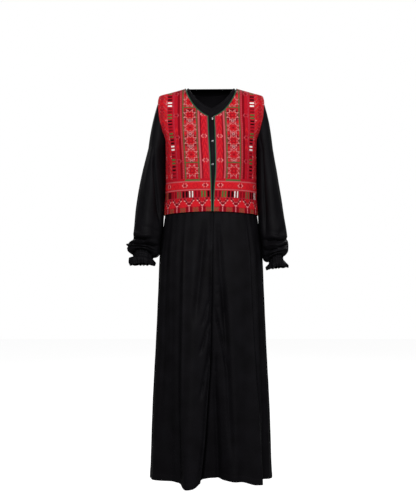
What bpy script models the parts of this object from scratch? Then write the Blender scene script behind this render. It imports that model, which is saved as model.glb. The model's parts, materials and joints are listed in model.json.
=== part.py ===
# A floor-length, long-sleeved abaya in black crepe with a short embroidered waistcoat front sewn over its bodice.
# It is shaped as worn, hollow, with its neck, cuffs and hem open. Metres, +Z up, the wearer faces -Y.
# The origin is the middle of the line between the two neck points, where the shoulders carry the garment.
# A drop is a distance measured down from there, as a pattern maker measures.

import math

import bmesh
import bpy
from mathutils import Vector

# Driving sizes
LENGTH = 1.400
CREPE = 0.0015
EMBROIDERED = 0.0025
SEAM_GAP = 0.0003
WAIST_DROP = 0.440
NECK_HALF_WIDTH = 0.080
FRONT_NECK_DROP = 0.085
BACK_NECK_DROP = 0.018
NECK_POINTED = 0.45
SHOULDER_DROP = 0.031
UNDERARM_DROP = 0.200

# The front closes right over left: the left front carries on under the right one.
UNDERLAP = 0.028
LAP_RISE = CREPE + 0.0011
LAP_FADE = 0.035

# The waistcoat
VEST_NECK_HALF_WIDTH = 0.090
VEST_NECK_DROP = 0.1104
VEST_BACK_NECK_DROP = 0.027
VEST_HEM_FRONT = 0.445
VEST_HEM_SIDE = 0.457
VEST_CLEARANCE = 0.0009
VEST_HEM_LIFT = 0.0012
BINDING_WIDTH = 0.0045
BINDING_PROUD = 0.0004

# Closures and edges
SNAP_RADIUS = 0.0045
SNAP_HEIGHT = 0.0020
SNAP_X = 0.0050
SNAP_DROPS = (0.120, 0.201, 0.282)
NECK_BINDING_WIDTH = 0.007
LAP_CLEAR = 0.25

# Outer surface of the crepe all round: half width to each side, depth to front and back of the shoulder line,
# and how square the ring is, 2 being an ellipse.
FORM_COLUMNS = ("drop", "half_width", "front", "back", "square")
FORM_ROWS = (
    (-0.012, 0.050, 0.044, 0.042, 2.0),
    (0.000, 0.080, 0.046, 0.048, 2.0),
    (0.010, 0.114, 0.048, 0.053, 2.1),
    (0.020, 0.149, 0.051, 0.058, 2.2),
    (0.031, 0.184, 0.055, 0.063, 2.4),
    (0.060, 0.191, 0.063, 0.074, 2.8),
    (0.100, 0.190, 0.079, 0.085, 3.0),
    (0.150, 0.178, 0.100, 0.093, 2.9),
    (0.200, 0.161, 0.119, 0.096, 2.6),
    (0.260, 0.160, 0.130, 0.095, 2.5),
    (0.330, 0.160, 0.130, 0.090, 2.4),
    (0.400, 0.162, 0.127, 0.087, 2.4),
    (0.440, 0.164, 0.126, 0.088, 2.4),
    (0.520, 0.175, 0.128, 0.103, 2.3),
    (0.600, 0.185, 0.131, 0.117, 2.3),
    (0.700, 0.189, 0.134, 0.125, 2.3),
    (0.900, 0.198, 0.141, 0.134, 2.2),
    (1.150, 0.211, 0.151, 0.146, 2.2),
    (1.400, 0.219, 0.160, 0.158, 2.2),
)

# Where the right front's edge lies, across the wearer's middle: it swings to the wearer's right below the hip.
OPENING_COLUMNS = ("drop", "edge_x")
OPENING_ROWS = (
    (0.080, 0.012),
    (0.300, 0.012),
    (0.430, 0.007),
    (0.520, 0.005),
    (0.650, 0.003),
    (0.850, -0.001),
    (0.980, -0.004),
    (1.100, -0.012),
    (1.220, -0.020),
    (1.320, -0.029),
    (1.400, -0.038),
)

# Edges of the two waistcoat fronts, which gape above and close at their hem.
VEST_EDGE_COLUMNS = ("drop", "left_x", "right_x")
VEST_EDGE_ROWS = (
    (0.100, 0.0092, -0.0105),
    (0.190, 0.0129, -0.0070),
    (0.285, 0.0144, -0.0014),
    (0.390, 0.0080, 0.0018),
    (0.460, 0.0058, 0.0034),
)

# Ridges (positive) and troughs (negative) of the skirt: the angle at waist and hem, from the centre front towards
# the wearer's left, the width of each flank, the drop where it starts, and how far it stands out at the hem.
FOLD_COLUMNS = ("waist_angle", "hem_angle", "flank_low", "flank_high", "start", "depth")
RIGHT_FRONT_FOLDS = (
    (-36, -20, 9, 28, 0.46, 0.038),
    (-50, -40, 14, 11, 0.52, -0.018),
    (-68, -62, 14, 13, 0.70, 0.010),
)
LEFT_FRONT_FOLDS = (
    (-2, 2, 30, 24, 0.60, -0.046),
    (20, 20, 9, 9, 0.48, 0.008),
    (54, 45, 16, 7, 0.45, 0.032),
    (61, 56, 7, 15, 0.45, -0.020),
)
BACK_FOLDS = (
    (112, 108, 14, 12, 0.60, -0.022),
    (128, 126, 13, 13, 0.52, 0.030),
    (146, 147, 12, 12, 0.56, -0.024),
    (166, 168, 14, 13, 0.50, 0.030),
    (184, 188, 12, 13, 0.60, -0.026),
    (202, 206, 13, 12, 0.52, 0.032),
    (222, 225, 13, 13, 0.56, -0.022),
    (240, 244, 13, 14, 0.50, 0.024),
)
FOLD_GROWTH = 1.25
# How low the hem hangs round the skirt, from the right side over the front to the left side and the back.
HEM_COLUMNS = ("angle", "drop")
HEM_ROWS = (
    (-90, 1.396),
    (-60, 1.388),
    (-31, 1.387),
    (-21, 1.400),
    (-15, 1.396),
    (-7, 1.376),
    (6, 1.374),
    (13, 1.379),
    (29, 1.383),
    (40, 1.393),
    (48, 1.393),
    (62, 1.389),
    (90, 1.396),
    (180, 1.400),
    (270, 1.396),
)

# Small gathers where the skirt is sewn to the bodice
GATHER_SPACING_DEG = 10.0
GATHER_DEPTH = 0.0028
GATHER_FADE = 0.050

# The armhole, as a ring that leans on the form: how far it reaches round to front and back
ARM_REACH_FRONT = 25
ARM_REACH_BACK = 30
ARM_STEP = 20
VEST_ARM_EASE = 0.018

# Sleeves: where each wall lies. Outer and inner are distances from the middle of the body, front and back are
# y, and lean is how far the outer side of the ring stands above its middle.
SLEEVE_COLUMNS = ("drop", "outer", "inner", "front", "back", "lean")
LEFT_SLEEVE_ROWS = (
    (0.215, 0.2220, 0.1655, -0.060, 0.070, 0.000),
    (0.292, 0.2360, 0.1670, -0.062, 0.067, 0.000),
    (0.370, 0.2475, 0.1705, -0.067, 0.059, 0.000),
    (0.446, 0.2595, 0.1760, -0.074, 0.048, 0.003),
    (0.505, 0.2700, 0.1810, -0.082, 0.037, 0.006),
    (0.545, 0.2760, 0.1840, -0.087, 0.030, 0.009),
    (0.572, 0.2740, 0.1880, -0.087, 0.022, 0.011),
    (0.590, 0.2640, 0.1990, -0.080, 0.005, 0.013),
    (0.599, 0.2570, 0.2080, -0.072, -0.006, 0.014),
)
RIGHT_SLEEVE_ROWS = (
    (0.215, 0.2260, 0.1655, -0.060, 0.070, 0.000),
    (0.292, 0.2460, 0.1680, -0.062, 0.068, 0.000),
    (0.370, 0.2610, 0.1720, -0.067, 0.061, 0.000),
    (0.446, 0.2710, 0.1770, -0.074, 0.050, 0.001),
    (0.500, 0.2760, 0.1810, -0.082, 0.040, 0.002),
    (0.530, 0.2790, 0.1830, -0.087, 0.034, 0.003),
    (0.556, 0.2980, 0.1840, -0.092, 0.030, 0.008),
    (0.574, 0.2930, 0.1900, -0.086, 0.012, 0.011),
    (0.583, 0.2740, 0.2070, -0.074, -0.004, 0.006),
)
# Long soft folds down a sleeve: the turn at top and bottom, the width, and how far it stands out at its middle.
SLEEVE_FOLD_COLUMNS = ("top_turn", "bottom_turn", "width", "start", "end", "depth")
SLEEVE_FOLDS = (
    (112, 128, 34, 0.215, 0.560, -0.0060),
    (76, 84, 40, 0.250, 0.540, 0.0045),
    (30, 12, 36, 0.230, 0.500, -0.0040),
    (228, 214, 44, 0.230, 0.520, -0.0050),
    (270, 282, 46, 0.260, 0.540, 0.0045),
)
SLEEVES = {"left": (1, LEFT_SLEEVE_ROWS), "right": (-1, RIGHT_SLEEVE_ROWS)}
CAP_BULGE = 0.005
CUFF_HEIGHT = 0.014
CUFF_GATHERS = 14
CUFF_GATHER_DEPTH = 0.0016
FRILL_HEIGHT = 0.026
FRILL_FLARE = 0.011
FRILL_WAVES = 14
FRILL_WAVE_DEPTH = 0.0050

# Colours and finishes
FINISHES = {
    "black_crepe": ((0.010, 0.010, 0.012, 1.0), 0.75, 0.0),
    "red_embroidery": ((0.480, 0.015, 0.030, 1.0), 0.70, 0.0),
    "green_binding": ((0.020, 0.130, 0.060, 1.0), 0.60, 0.0),
    "snap_metal": ((0.700, 0.700, 0.720, 1.0), 0.30, 1.0),
}


def smooth_curve(xs, ys):
    """A function through the points that never overshoots them."""
    steps = [(ys[i + 1] - ys[i]) / (xs[i + 1] - xs[i]) for i in range(len(xs) - 1)]
    slopes = [steps[0]]
    for before, after in zip(steps, steps[1:]):
        slopes.append(2 * before * after / (before + after) if before * after > 0 else 0.0)
    slopes.append(steps[-1])

    def value(x):
        x = min(max(x, xs[0]), xs[-1])
        i = 0
        while i < len(xs) - 2 and x > xs[i + 1]:
            i += 1
        width = xs[i + 1] - xs[i]
        t = (x - xs[i]) / width
        low = (1 + 2 * t) * (1 - t) ** 2 * ys[i] + t * (1 - t) ** 2 * width * slopes[i]
        high = t * t * (3 - 2 * t) * ys[i + 1] + t * t * (t - 1) * width * slopes[i + 1]
        return low + high

    return value


def curves_of(columns, rows):
    """One curve for each column after the first, as a function of the first."""
    xs = [row[0] for row in rows]
    return {name: smooth_curve(xs, [row[i] for row in rows]) for i, name in enumerate(columns) if i}


def mix(a, b, share):
    return a + (b - a) * share


def ease(share):
    share = min(max(share, 0.0), 1.0)
    return share * share * (3 - 2 * share)


FORM = curves_of(FORM_COLUMNS, FORM_ROWS)
OPENING = curves_of(OPENING_COLUMNS, OPENING_ROWS)
VEST_EDGE = curves_of(VEST_EDGE_COLUMNS, VEST_EDGE_ROWS)
HEM = curves_of(HEM_COLUMNS, HEM_ROWS)


def form_point(angle, drop):
    """A point on the body form. Angle 0 is the centre front, 90 the wearer's left side, 180 the centre back."""
    sine = math.sin(math.radians(angle))
    cosine = math.cos(math.radians(angle))
    power = FORM["square"](drop)
    reach = (abs(sine) ** power + abs(cosine) ** power) ** (-1 / power)
    depth = FORM["front"](drop) if cosine > 0 else FORM["back"](drop)
    return Vector((FORM["half_width"](drop) * reach * sine, -depth * reach * cosine, -drop))


def angle_at(x, drop):
    """The angle on the front half of the form's ring where it reaches x."""
    low, high = -90.0, 90.0
    for _ in range(40):
        middle = (low + high) / 2
        if form_point(middle, drop).x < x:
            low = middle
        else:
            high = middle
    return (low + high) / 2


def normal_of(surface, a, b, step_a=0.5, step_b=0.001):
    """The outward direction of a surface given by two parameters."""
    along = surface(a + step_a, b) - surface(a - step_a, b)
    down = surface(a, b + step_b) - surface(a, b - step_b)
    return down.cross(along).normalized()


def lap_share(x, drop):
    """1 where the two fronts lie on each other, fading to 0 on both sides of that."""
    edge = OPENING["edge_x"](drop)
    outside = max(edge - UNDERLAP - 0.018 - x, x - edge - 0.006, 0.0)
    return 1 - ease(outside / LAP_FADE)


def fold_height(folds, angle, drop):
    """How far the skirt's folds stand out from the form there."""
    total = 0.0
    for waist_angle, hem_angle, flank_low, flank_high, start, depth in folds:
        if drop <= start:
            continue
        grown = ((drop - start) / (LENGTH - start)) ** FOLD_GROWTH
        off = angle - mix(waist_angle, hem_angle, (drop - WAIST_DROP) / (LENGTH - WAIST_DROP))
        off /= flank_low if off < 0 else flank_high
        if abs(off) < 1:
            total += depth * grown * math.cos(math.pi / 2 * off) ** 2
    return total


def gather_depth(angle, drop):
    """How far the small gathers sink below the form just under the waist seam."""
    wave = 0.5 - 0.5 * math.cos(2 * math.pi * angle / GATHER_SPACING_DEG)
    return GATHER_DEPTH * wave * math.exp(-(drop - WAIST_DROP) / GATHER_FADE)


def moved_out(angle, drop, distance):
    """The form's point there, moved out along the form's own normal."""
    return form_point(angle, drop) + normal_of(form_point, angle, drop) * distance


def moved_out_from(surface, angle, drop, distance):
    return surface(angle, drop) + normal_of(surface, angle, drop) * distance


def bodice_right(angle, drop):
    return moved_out(angle, drop, LAP_RISE * lap_share(form_point(angle, drop).x, drop))


def vest_surface(angle, drop):
    """The waistcoat's outer face, which clears the lap of the two fronts under it."""
    rise = VEST_HEM_LIFT * ease((drop - WAIST_DROP + 0.04) / 0.05)
    if math.cos(math.radians(angle)) > 0:
        rise += LAP_RISE * lap_share(form_point(angle, drop).x, drop)
    return moved_out(angle, drop, VEST_CLEARANCE + EMBROIDERED + rise)


def binding_surface(angle, drop):
    return moved_out_from(vest_surface, angle, drop, BINDING_PROUD)


def skirt_surface(folds, laps):
    """The outer face of a skirt panel with those folds. The panel that laps over the other stands out by it."""

    def surface(angle, drop):
        point = form_point(angle, drop)
        outward = normal_of(form_point, angle, drop)
        outward.z = 0
        lap = lap_share(point.x, drop) if math.cos(math.radians(angle)) > 0 else 0.0
        height = fold_height(folds, angle, drop) - gather_depth(angle, drop) * (1 - lap)
        if laps:
            height += LAP_RISE * lap
        return point + outward.normalized() * height

    return surface


SKIRT_LEFT = skirt_surface(LEFT_FRONT_FOLDS, False)
SKIRT_RIGHT = skirt_surface(RIGHT_FRONT_FOLDS, True)
SKIRT_BACK = skirt_surface(BACK_FOLDS, False)


class Cloth:
    """One piece of cloth, gathered as grids of points on its outer face and then given its thickness."""

    def __init__(self, name, thickness, finish):
        self.name, self.thickness, self.finish = name, thickness, finish
        self.outer, self.inner, self.faces, self.seen = [], [], [], {}

    def vertex(self, point, normal):
        key = tuple(round(value * 1e6) for value in point)
        if key not in self.seen:
            self.seen[key] = len(self.outer)
            self.outer.append(point)
            self.inner.append(point - normal * self.thickness)
        return self.seen[key]

    def add_grid(self, grid):
        """grid holds rows of (point, outward normal)."""
        numbers = [[self.vertex(point, normal) for point, normal in row] for row in grid]
        for upper, lower in zip(numbers, numbers[1:]):
            for i in range(len(upper) - 1):
                corners = []
                for number in (upper[i], upper[i + 1], lower[i + 1], lower[i]):
                    if number not in corners:
                        corners.append(number)
                for last in range(2, len(corners)):
                    self.faces.append((corners[0], corners[last - 1], corners[last]))

    def build(self):
        count = len(self.outer)
        uses = {}
        for face in self.faces:
            for a, b in zip(face, face[1:] + face[:1]):
                uses[frozenset((a, b))] = uses.get(frozenset((a, b)), 0) + 1
        faces = list(self.faces)
        faces += [tuple(number + count for number in reversed(face)) for face in self.faces]
        for face in self.faces:
            for a, b in zip(face, face[1:] + face[:1]):
                if uses[frozenset((a, b))] == 1:
                    faces.append((b, a, a + count, b + count))
        add_object(self.name, self.outer + self.inner, faces, self.finish)


def add_object(name, points, faces, finish):
    mesh = bpy.data.meshes.new(name)
    mesh.from_pydata([tuple(point) for point in points], [], faces)
    work = bmesh.new()
    work.from_mesh(mesh)
    bmesh.ops.recalc_face_normals(work, faces=work.faces)
    work.to_mesh(mesh)
    work.free()
    mesh.shade_smooth()
    mesh.set_sharp_from_angle(angle=math.radians(50))
    mesh.materials.append(bpy.data.materials[finish])
    thing = bpy.data.objects.new(name, mesh)
    bpy.context.scene.collection.objects.link(thing)
    return thing


def add_materials():
    for name, (colour, roughness, metallic) in FINISHES.items():
        material = bpy.data.materials.new(name)
        material.use_nodes = True
        shader = material.node_tree.nodes["Principled BSDF"]
        shader.inputs["Base Color"].default_value = colour
        shader.inputs["Roughness"].default_value = roughness
        shader.inputs["Metallic"].default_value = metallic


def even(count, low=0.0, high=1.0):
    return [mix(low, high, i / (count - 1)) for i in range(count)]


def placed(surface, params):
    """Rows of (point, normal) for rows of (angle, drop)."""
    return [[(surface(a, b), normal_of(surface, a, b)) for a, b in row] for row in params]


def seam_angle(drop, back):
    """The angle of a side or shoulder seam, half a seam gap short of the middle of the side."""
    depth = FORM["back"](drop) if back else FORM["front"](drop)
    short = math.degrees(SEAM_GAP / 2 / depth)
    return 90 + short if back else 90 - short


# Half panels of the bodice and the waistcoat run from the centre to the side seam and armhole.
# Their rows climb from the waist, share 0, to the shoulder seam, share 1.
UNDERARM_SHARE = 0.55
SHARES = (0.0, 0.09, 0.18, 0.26, 0.34, 0.41, 0.48, 0.55, 0.60, 0.65, 0.70, 0.75, 0.80, 0.85, 0.90, 0.95, 1.0)
NECK_SHARE = 0.70
COLUMNS = (0.0, 0.16, 0.31, 0.44, 0.55, 0.65, 0.74, 0.82, 0.88, 0.94, 1.0)


def armhole_at(turn, back, ease_out=0.0):
    """(angle, drop) on the armhole. Turn 0 is the shoulder point and 180 the underarm.

    ease_out is how much lower its underarm lies than the sleeve's, and it reaches round further to match.
    """
    reach = (ARM_REACH_BACK if back else -ARM_REACH_FRONT) * (1 + ease_out / 0.3)
    top = SHOULDER_DROP - 0.0012 * (ease_out > 0)
    bottom = UNDERARM_DROP + ease_out
    sine = math.sin(math.radians(turn))
    cosine = math.cos(math.radians(turn))
    drop = (bottom + top) / 2 - (bottom - top) / 2 * cosine
    return seam_angle(drop, back) + reach * sine, drop


def armhole_start(turn):
    """(point, way into the hole) on the left armhole of the bodice, which is straight between its panels' rows."""
    back = turn > 180
    turn = 360 - turn if back else turn
    start = min(ARM_STEP * math.floor(turn / ARM_STEP), 180 - ARM_STEP)
    share = (turn - start) / ARM_STEP
    ends = [armhole_at(corner, back) for corner in (start, start + ARM_STEP)]
    points = [form_point(*end) for end in ends]
    here = points[0].lerp(points[1], share)
    way = armhole_at(turn, back)
    inward = normal_of(form_point, *way).cross(points[1] - points[0]).normalized()
    middle = form_point(90, (UNDERARM_DROP + SHOULDER_DROP) / 2)
    return here, inward if inward.dot(middle - here) > 0 else -inward


def neck_point_drop(half_width):
    """The drop at which the shoulder line is that far from the middle."""
    low, high = 0.0, SHOULDER_DROP
    for _ in range(40):
        middle = (low + high) / 2
        if FORM["half_width"](middle) < half_width:
            low = middle
        else:
            high = middle
    return (low + high) / 2


class Cut:
    """One half panel, drawn on the wearer's left: its front edge, its neckline and how low its armhole lies."""

    def __init__(self, neck_share, neck_drop, neck_half_width, centre_x=None, arm_ease=0.0):
        self.neck_share, self.neck_drop = neck_share, neck_drop
        self.neck_half_width, self.arm_ease = neck_half_width, arm_ease
        self.centre_x = centre_x
        self.back = centre_x is None

    def centre_angle(self, drop):
        return 180.0 if self.back else angle_at(self.centre_x(drop), drop)

    def inner(self, share):
        """(angle, drop) on the centre edge and then the neckline."""
        if share <= self.neck_share:
            drop = mix(WAIST_DROP - SEAM_GAP / 2, self.neck_drop, share / self.neck_share)
            return self.centre_angle(drop), drop
        if share >= 1:
            return self.shoulder(self.neck_half_width)
        turn = math.radians(90 * (share - self.neck_share) / (1 - self.neck_share))
        start = 0.0 if self.back else self.centre_x(self.neck_drop)
        straight = (math.sin(turn) + 1 - math.cos(turn)) / 2
        pointed = 0.0 if self.back else NECK_POINTED
        x = mix(start, self.neck_half_width, mix(math.sin(turn), straight, pointed))
        climbed = mix(1 - math.cos(turn), straight, pointed)
        drop = mix(self.neck_drop, neck_point_drop(self.neck_half_width), climbed)
        angle = angle_at(min(x, FORM["half_width"](drop)), drop)
        return (180.0 - angle if self.back else angle), drop

    def outer(self, share):
        """(angle, drop) on the side seam and then the armhole."""
        if share <= UNDERARM_SHARE:
            drop = mix(WAIST_DROP - SEAM_GAP / 2, UNDERARM_DROP + self.arm_ease, share / UNDERARM_SHARE)
            return seam_angle(drop, self.back), drop
        climbed = (share - UNDERARM_SHARE) / (1 - UNDERARM_SHARE)
        return armhole_at(180 * (1 - climbed), self.back, self.arm_ease)

    def edge(self, shares, inset=0.0):
        """The centre edge and neckline, set in by a distance along the cloth."""
        line = [self.inner(share) for share in shares]
        if not inset:
            return line
        moved = [stepped_in(line, i, inset, self.back) for i in range(len(line))]
        if self.back:
            below = sum(share < self.neck_share for share in shares)
            moved[:below] = line[:below]
            moved[below] = (180.0, self.neck_drop + inset)
        moved[-1] = self.shoulder(self.neck_half_width + inset)
        return moved

    def shoulder(self, half_width):
        """(angle, drop) on the shoulder seam, that far from the middle."""
        drop = neck_point_drop(half_width)
        return seam_angle(drop, self.back), drop

    def panel(self, inset):
        """Parameters of the half panel, climbing from the waist to the shoulder seam."""
        grid = []
        for share, inner in zip(SHARES, self.edge(SHARES, inset)):
            outer = self.outer(share)
            grid.append([(mix(inner[0], outer[0], s), mix(inner[1], outer[1], s)) for s in COLUMNS])
        return grid


def stepped_in(line, i, distance, back):
    """The i-th point of a line on the form, moved square to the line by a distance and mitred at corners."""
    here = form_point(*line[i])
    before = form_point(*line[max(i - 1, 0)])
    after = form_point(*line[min(i + 1, len(line) - 1)])
    into = (here - before).normalized() if i else (after - here).normalized()
    out_of = (after - here).normalized() if i < len(line) - 1 else into
    along = (into + out_of).normalized()
    angle, drop = line[i]
    normal = normal_of(form_point, angle, drop)
    inward = normal.cross(along) * (1 if back else -1)
    wanted = inward.normalized() * distance / max(along.dot(into), 0.5)
    per_angle = (form_point(angle + 0.5, drop) - form_point(angle - 0.5, drop))
    per_drop = (form_point(angle, drop + 0.001) - form_point(angle, drop - 0.001)) / 0.002
    aa, ab, bb = per_angle.dot(per_angle), per_angle.dot(per_drop), per_drop.dot(per_drop)
    wa, wb = wanted.dot(per_angle), wanted.dot(per_drop)
    whole = aa * bb - ab * ab
    return angle + (wa * bb - wb * ab) / whole, drop + (wb * aa - wa * ab) / whole


def mirrored(params):
    """The same parameters on the wearer's right."""
    return [[(-angle, drop) for angle, drop in row] for row in params]


def other_half(params):
    """A back panel's parameters carried over its centre line."""
    return [[(360 - angle, drop) for angle, drop in row] for row in params]


def under_edge(drop):
    """The edge of the left front, hidden under the right one."""
    return OPENING["edge_x"](drop) - UNDERLAP


def over_edge(drop):
    """The edge of the right front, measured towards the wearer's right as its cut is drawn."""
    return -OPENING["edge_x"](drop)


def vest_edge_right(drop):
    return -VEST_EDGE["right_x"](drop)


BODICE_CUTS = {
    "left": Cut(NECK_SHARE, FRONT_NECK_DROP, NECK_HALF_WIDTH, under_edge),
    "right": Cut(NECK_SHARE, FRONT_NECK_DROP, NECK_HALF_WIDTH, over_edge),
    "back": Cut(NECK_SHARE, BACK_NECK_DROP, NECK_HALF_WIDTH),
}
VEST_CUTS = {
    "left": Cut(0.65, VEST_NECK_DROP, VEST_NECK_HALF_WIDTH, VEST_EDGE["left_x"], VEST_ARM_EASE),
    "right": Cut(0.65, VEST_NECK_DROP, VEST_NECK_HALF_WIDTH, vest_edge_right, VEST_ARM_EASE),
    "back": Cut(NECK_SHARE, VEST_BACK_NECK_DROP, VEST_NECK_HALF_WIDTH, None, VEST_ARM_EASE),
}
PANEL_NAMES = {"left": "front_left", "right": "front_right", "back": "back"}
UNDERARM_ROW = SHARES.index(UNDERARM_SHARE)
NECK_ROW = SHARES.index(NECK_SHARE)


def add_piece(name, thickness, finish, surface, grids, side):
    """A piece from its left half's parameters: turned over for the right, or joined to its other half for the back."""
    if side == "right":
        grids = [mirrored(grid) for grid in grids]
    if side == "back":
        grids = grids + [other_half(grid) for grid in grids]
    piece = Cloth(name, thickness, finish)
    for grid in grids:
        piece.add_grid(placed(surface, grid))
    piece.build()


def neck_strip(cut, width):
    """Parameters of a narrow band along the neckline alone."""
    lines = [cut.edge(SHARES, inset) for inset in (0.0, width)]
    return [list(row) for row in zip(*lines)][NECK_ROW:]


def bodice_grids(side):
    """Parameters of half a bodice. All of the waistcoat's points are among them, so that the two lie parallel."""
    cut, over = BODICE_CUTS[side], VEST_CUTS[side]
    edges = zip(cut.edge(SHARES), cut.edge(SHARES, NECK_BINDING_WIDTH), over.edge(SHARES))
    grid = []
    for i, ((edge, bound, vest), row) in enumerate(zip(edges, over.panel(BINDING_WIDTH + SEAM_GAP))):
        if i < NECK_ROW:
            bound = tuple(mix(a, b, 0.5) for a, b in zip(edge, vest))
        grid.append([edge, bound, vest] + row + [cut.outer(SHARES[i])])
    below = [row[:-1] for row in grid[: UNDERARM_ROW + 1]]
    if not cut.back:
        return [below, grid[UNDERARM_ROW:]]
    middle = [row[3:] for row in grid[UNDERARM_ROW : NECK_ROW + 1]]
    return [[row[3:] for row in below], middle, grid[NECK_ROW:]]


def add_bodice():
    for side, name in PANEL_NAMES.items():
        surface = bodice_right if side == "right" else form_point
        add_piece(f"bodice_{name}", CREPE, "black_crepe", surface, bodice_grids(side), side)


def with_hem(grid, back):
    """A waistcoat's grid carried down over the waist seam to its hem."""
    hem = []
    for angle, _ in grid[0]:
        share = 1.0 if back else math.sin(math.radians(angle)) ** 2
        hem.append((angle, mix(VEST_HEM_FRONT, VEST_HEM_SIDE, share)))
    return [hem] + grid


def add_vest():
    for side, name in PANEL_NAMES.items():
        cut = VEST_CUTS[side]
        grid = with_hem(cut.panel(BINDING_WIDTH + SEAM_GAP), cut.back)
        add_piece(f"vest_{name}", EMBROIDERED, "red_embroidery", vest_surface, [grid], side)
        band = neck_strip(cut, BINDING_WIDTH)
        if not cut.back:
            lines = [cut.edge(SHARES, inset) for inset in (0.0, BINDING_WIDTH)]
            band = with_hem([list(row) for row in zip(*lines)], False)
        thickness = EMBROIDERED + BINDING_PROUD
        add_piece(f"vest_binding_{side}", thickness, "green_binding", binding_surface, [band], side)


def over_form(angle, drop):
    return moved_out(angle, drop, SEAM_GAP + CREPE)


def over_lap(angle, drop):
    return moved_out_from(bodice_right, angle, drop, SEAM_GAP + CREPE)


def add_neck_binding():
    """A narrow band over the raw edge of the neck, from one front edge round the back to the other."""
    for side in PANEL_NAMES:
        surface = over_lap if side == "right" else over_form
        band = neck_strip(BODICE_CUTS[side], NECK_BINDING_WIDTH)
        if side == "left":
            band = band[1:]
            band[0] = [tuple(mix(a, b, LAP_CLEAR) for a, b in zip(*ends)) for ends in zip(band[0], band[1])]
        add_piece(f"neck_binding_{side}", CREPE, "black_crepe", surface, [band], side)


SKIRT_ROWS = (0.0, 0.030, 0.070, 0.13, 0.21, 0.31, 0.42, 0.535, 0.65, 0.765, 0.88, 1.0)


def skirt_params(low_angle, high_angle, columns):
    """Angles and drops of a skirt panel whose sides are given as functions of the drop."""
    grid = []
    top = WAIST_DROP + SEAM_GAP / 2
    for share in SKIRT_ROWS:
        row = []
        for s in even(columns):
            drop = mix(top, LENGTH, share)
            for _ in range(3):
                angle = mix(low_angle(drop), high_angle(drop), s)
                drop = mix(top, HEM["drop"](angle), share)
            row.append((angle, drop))
        grid.append(row)
    return grid


def add_skirt():
    def edge(drop):
        return angle_at(OPENING["edge_x"](drop), drop)

    def under(drop):
        return angle_at(under_edge(drop), drop)

    panels = (
        ("front_right", SKIRT_RIGHT, lambda drop: -seam_angle(drop, False), edge, 28),
        ("front_left", SKIRT_LEFT, under, lambda drop: seam_angle(drop, False), 31),
        ("back", SKIRT_BACK, lambda drop: seam_angle(drop, True), lambda drop: 360 - seam_angle(drop, True), 46),
    )
    for name, surface, low, high, columns in panels:
        grid = skirt_params(low, high, columns)
        add_piece(f"skirt_{name}", CREPE, "black_crepe", surface, [grid], "whole")


def sleeve_fold(turn, drop):
    """How far a sleeve's long folds stand out there. They fade at both ends."""
    total = 0.0
    for top_turn, bottom_turn, width, start, end, depth in SLEEVE_FOLDS:
        along = (drop - start) / (end - start)
        off = (turn - mix(top_turn, bottom_turn, along)) / width
        if 0 < along < 1 and abs(off) < 1:
            total += depth * math.sin(math.pi * along) * math.cos(math.pi / 2 * off) ** 2
    return total


def sleeve_surfaces(side):
    """The sleeve, its gathered cuff and the frill, as functions of the turn round the arm and a run down it.

    Turn 0 is the outside of the arm, 90 its front and 180 the side against the body.
    """
    sign, rows = SLEEVES[side]
    walls = curves_of(SLEEVE_COLUMNS, rows)
    top, bottom = rows[0][0], rows[-1][0]

    def ring(turn, drop, growth=0.0):
        cosine = math.cos(math.radians(turn))
        sine = math.sin(math.radians(turn))
        middle_x = (walls["outer"](drop) + walls["inner"](drop)) / 2
        middle_y = (walls["front"](drop) + walls["back"](drop)) / 2
        growth += sleeve_fold(turn % 360, drop)
        half_x = (walls["outer"](drop) - walls["inner"](drop)) / 2 + growth
        half_y = (walls["back"](drop) - walls["front"](drop)) / 2 + growth
        return Vector((
            sign * (middle_x + half_x * cosine),
            middle_y - half_y * sine,
            -drop + walls["lean"](drop) * cosine,
        ))

    def sleeve(turn, run):
        """Run 0 is the armhole, 1 the first whole ring below it and 2 the cuff seam."""
        if run >= 1:
            return ring(turn, mix(top, bottom, run - 1))
        start, inward = armhole_start(turn)
        start += inward * SEAM_GAP
        start.x *= sign
        swell = CAP_BULGE * math.sin(math.pi * max(run, 0)) * max(math.cos(math.radians(turn)), 0.0)
        return start.lerp(ring(turn, top), run) + Vector((sign * swell, 0, swell / 2))

    def wave(turn, count):
        return 0.5 - 0.5 * math.cos(math.radians(turn * count))

    def cuff(turn, run):
        point = ring(turn, bottom, -CUFF_GATHER_DEPTH * wave(turn, CUFF_GATHERS))
        return point - Vector((0, 0, SEAM_GAP + run * CUFF_HEIGHT))

    def frill(turn, run):
        growth = FRILL_FLARE * run - FRILL_WAVE_DEPTH * run * wave(turn, FRILL_WAVES)
        growth -= CUFF_GATHER_DEPTH * (1 - run) * wave(turn, FRILL_WAVES)
        point = ring(turn, bottom, growth)
        return point - Vector((0, 0, 2 * SEAM_GAP + CUFF_HEIGHT + run * FRILL_HEIGHT))

    return sleeve, cuff, frill


CAP_RUNS = (0.0, 0.25, 0.60)
TUBE_RUNS = (1.0, 1.24, 1.46, 1.64, 1.78, 1.87, 1.925, 1.965, 2.0)


def add_tube(name, surface, turns, runs, side, thickness):
    """A closed tube of cloth. The wearer's right side is the mirror image, so its normals are turned about."""
    flip = SLEEVES[side][0]
    grid = []
    for run in runs:
        row = []
        for turn in turns[:-1]:
            normal = normal_of(surface, turn, run, 2.0, 0.01) * -flip
            if run == 0 and surface.__name__ == "sleeve":
                inward = armhole_start(turn)[1]
                inward.x *= flip
                normal = (normal - inward * max(normal.dot(inward), 0.0)).normalized()
            row.append((surface(turn, run), normal))
        grid.append(row + row[:1])
    piece = Cloth(name, thickness, "black_crepe")
    piece.add_grid(grid)
    piece.build()


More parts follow.
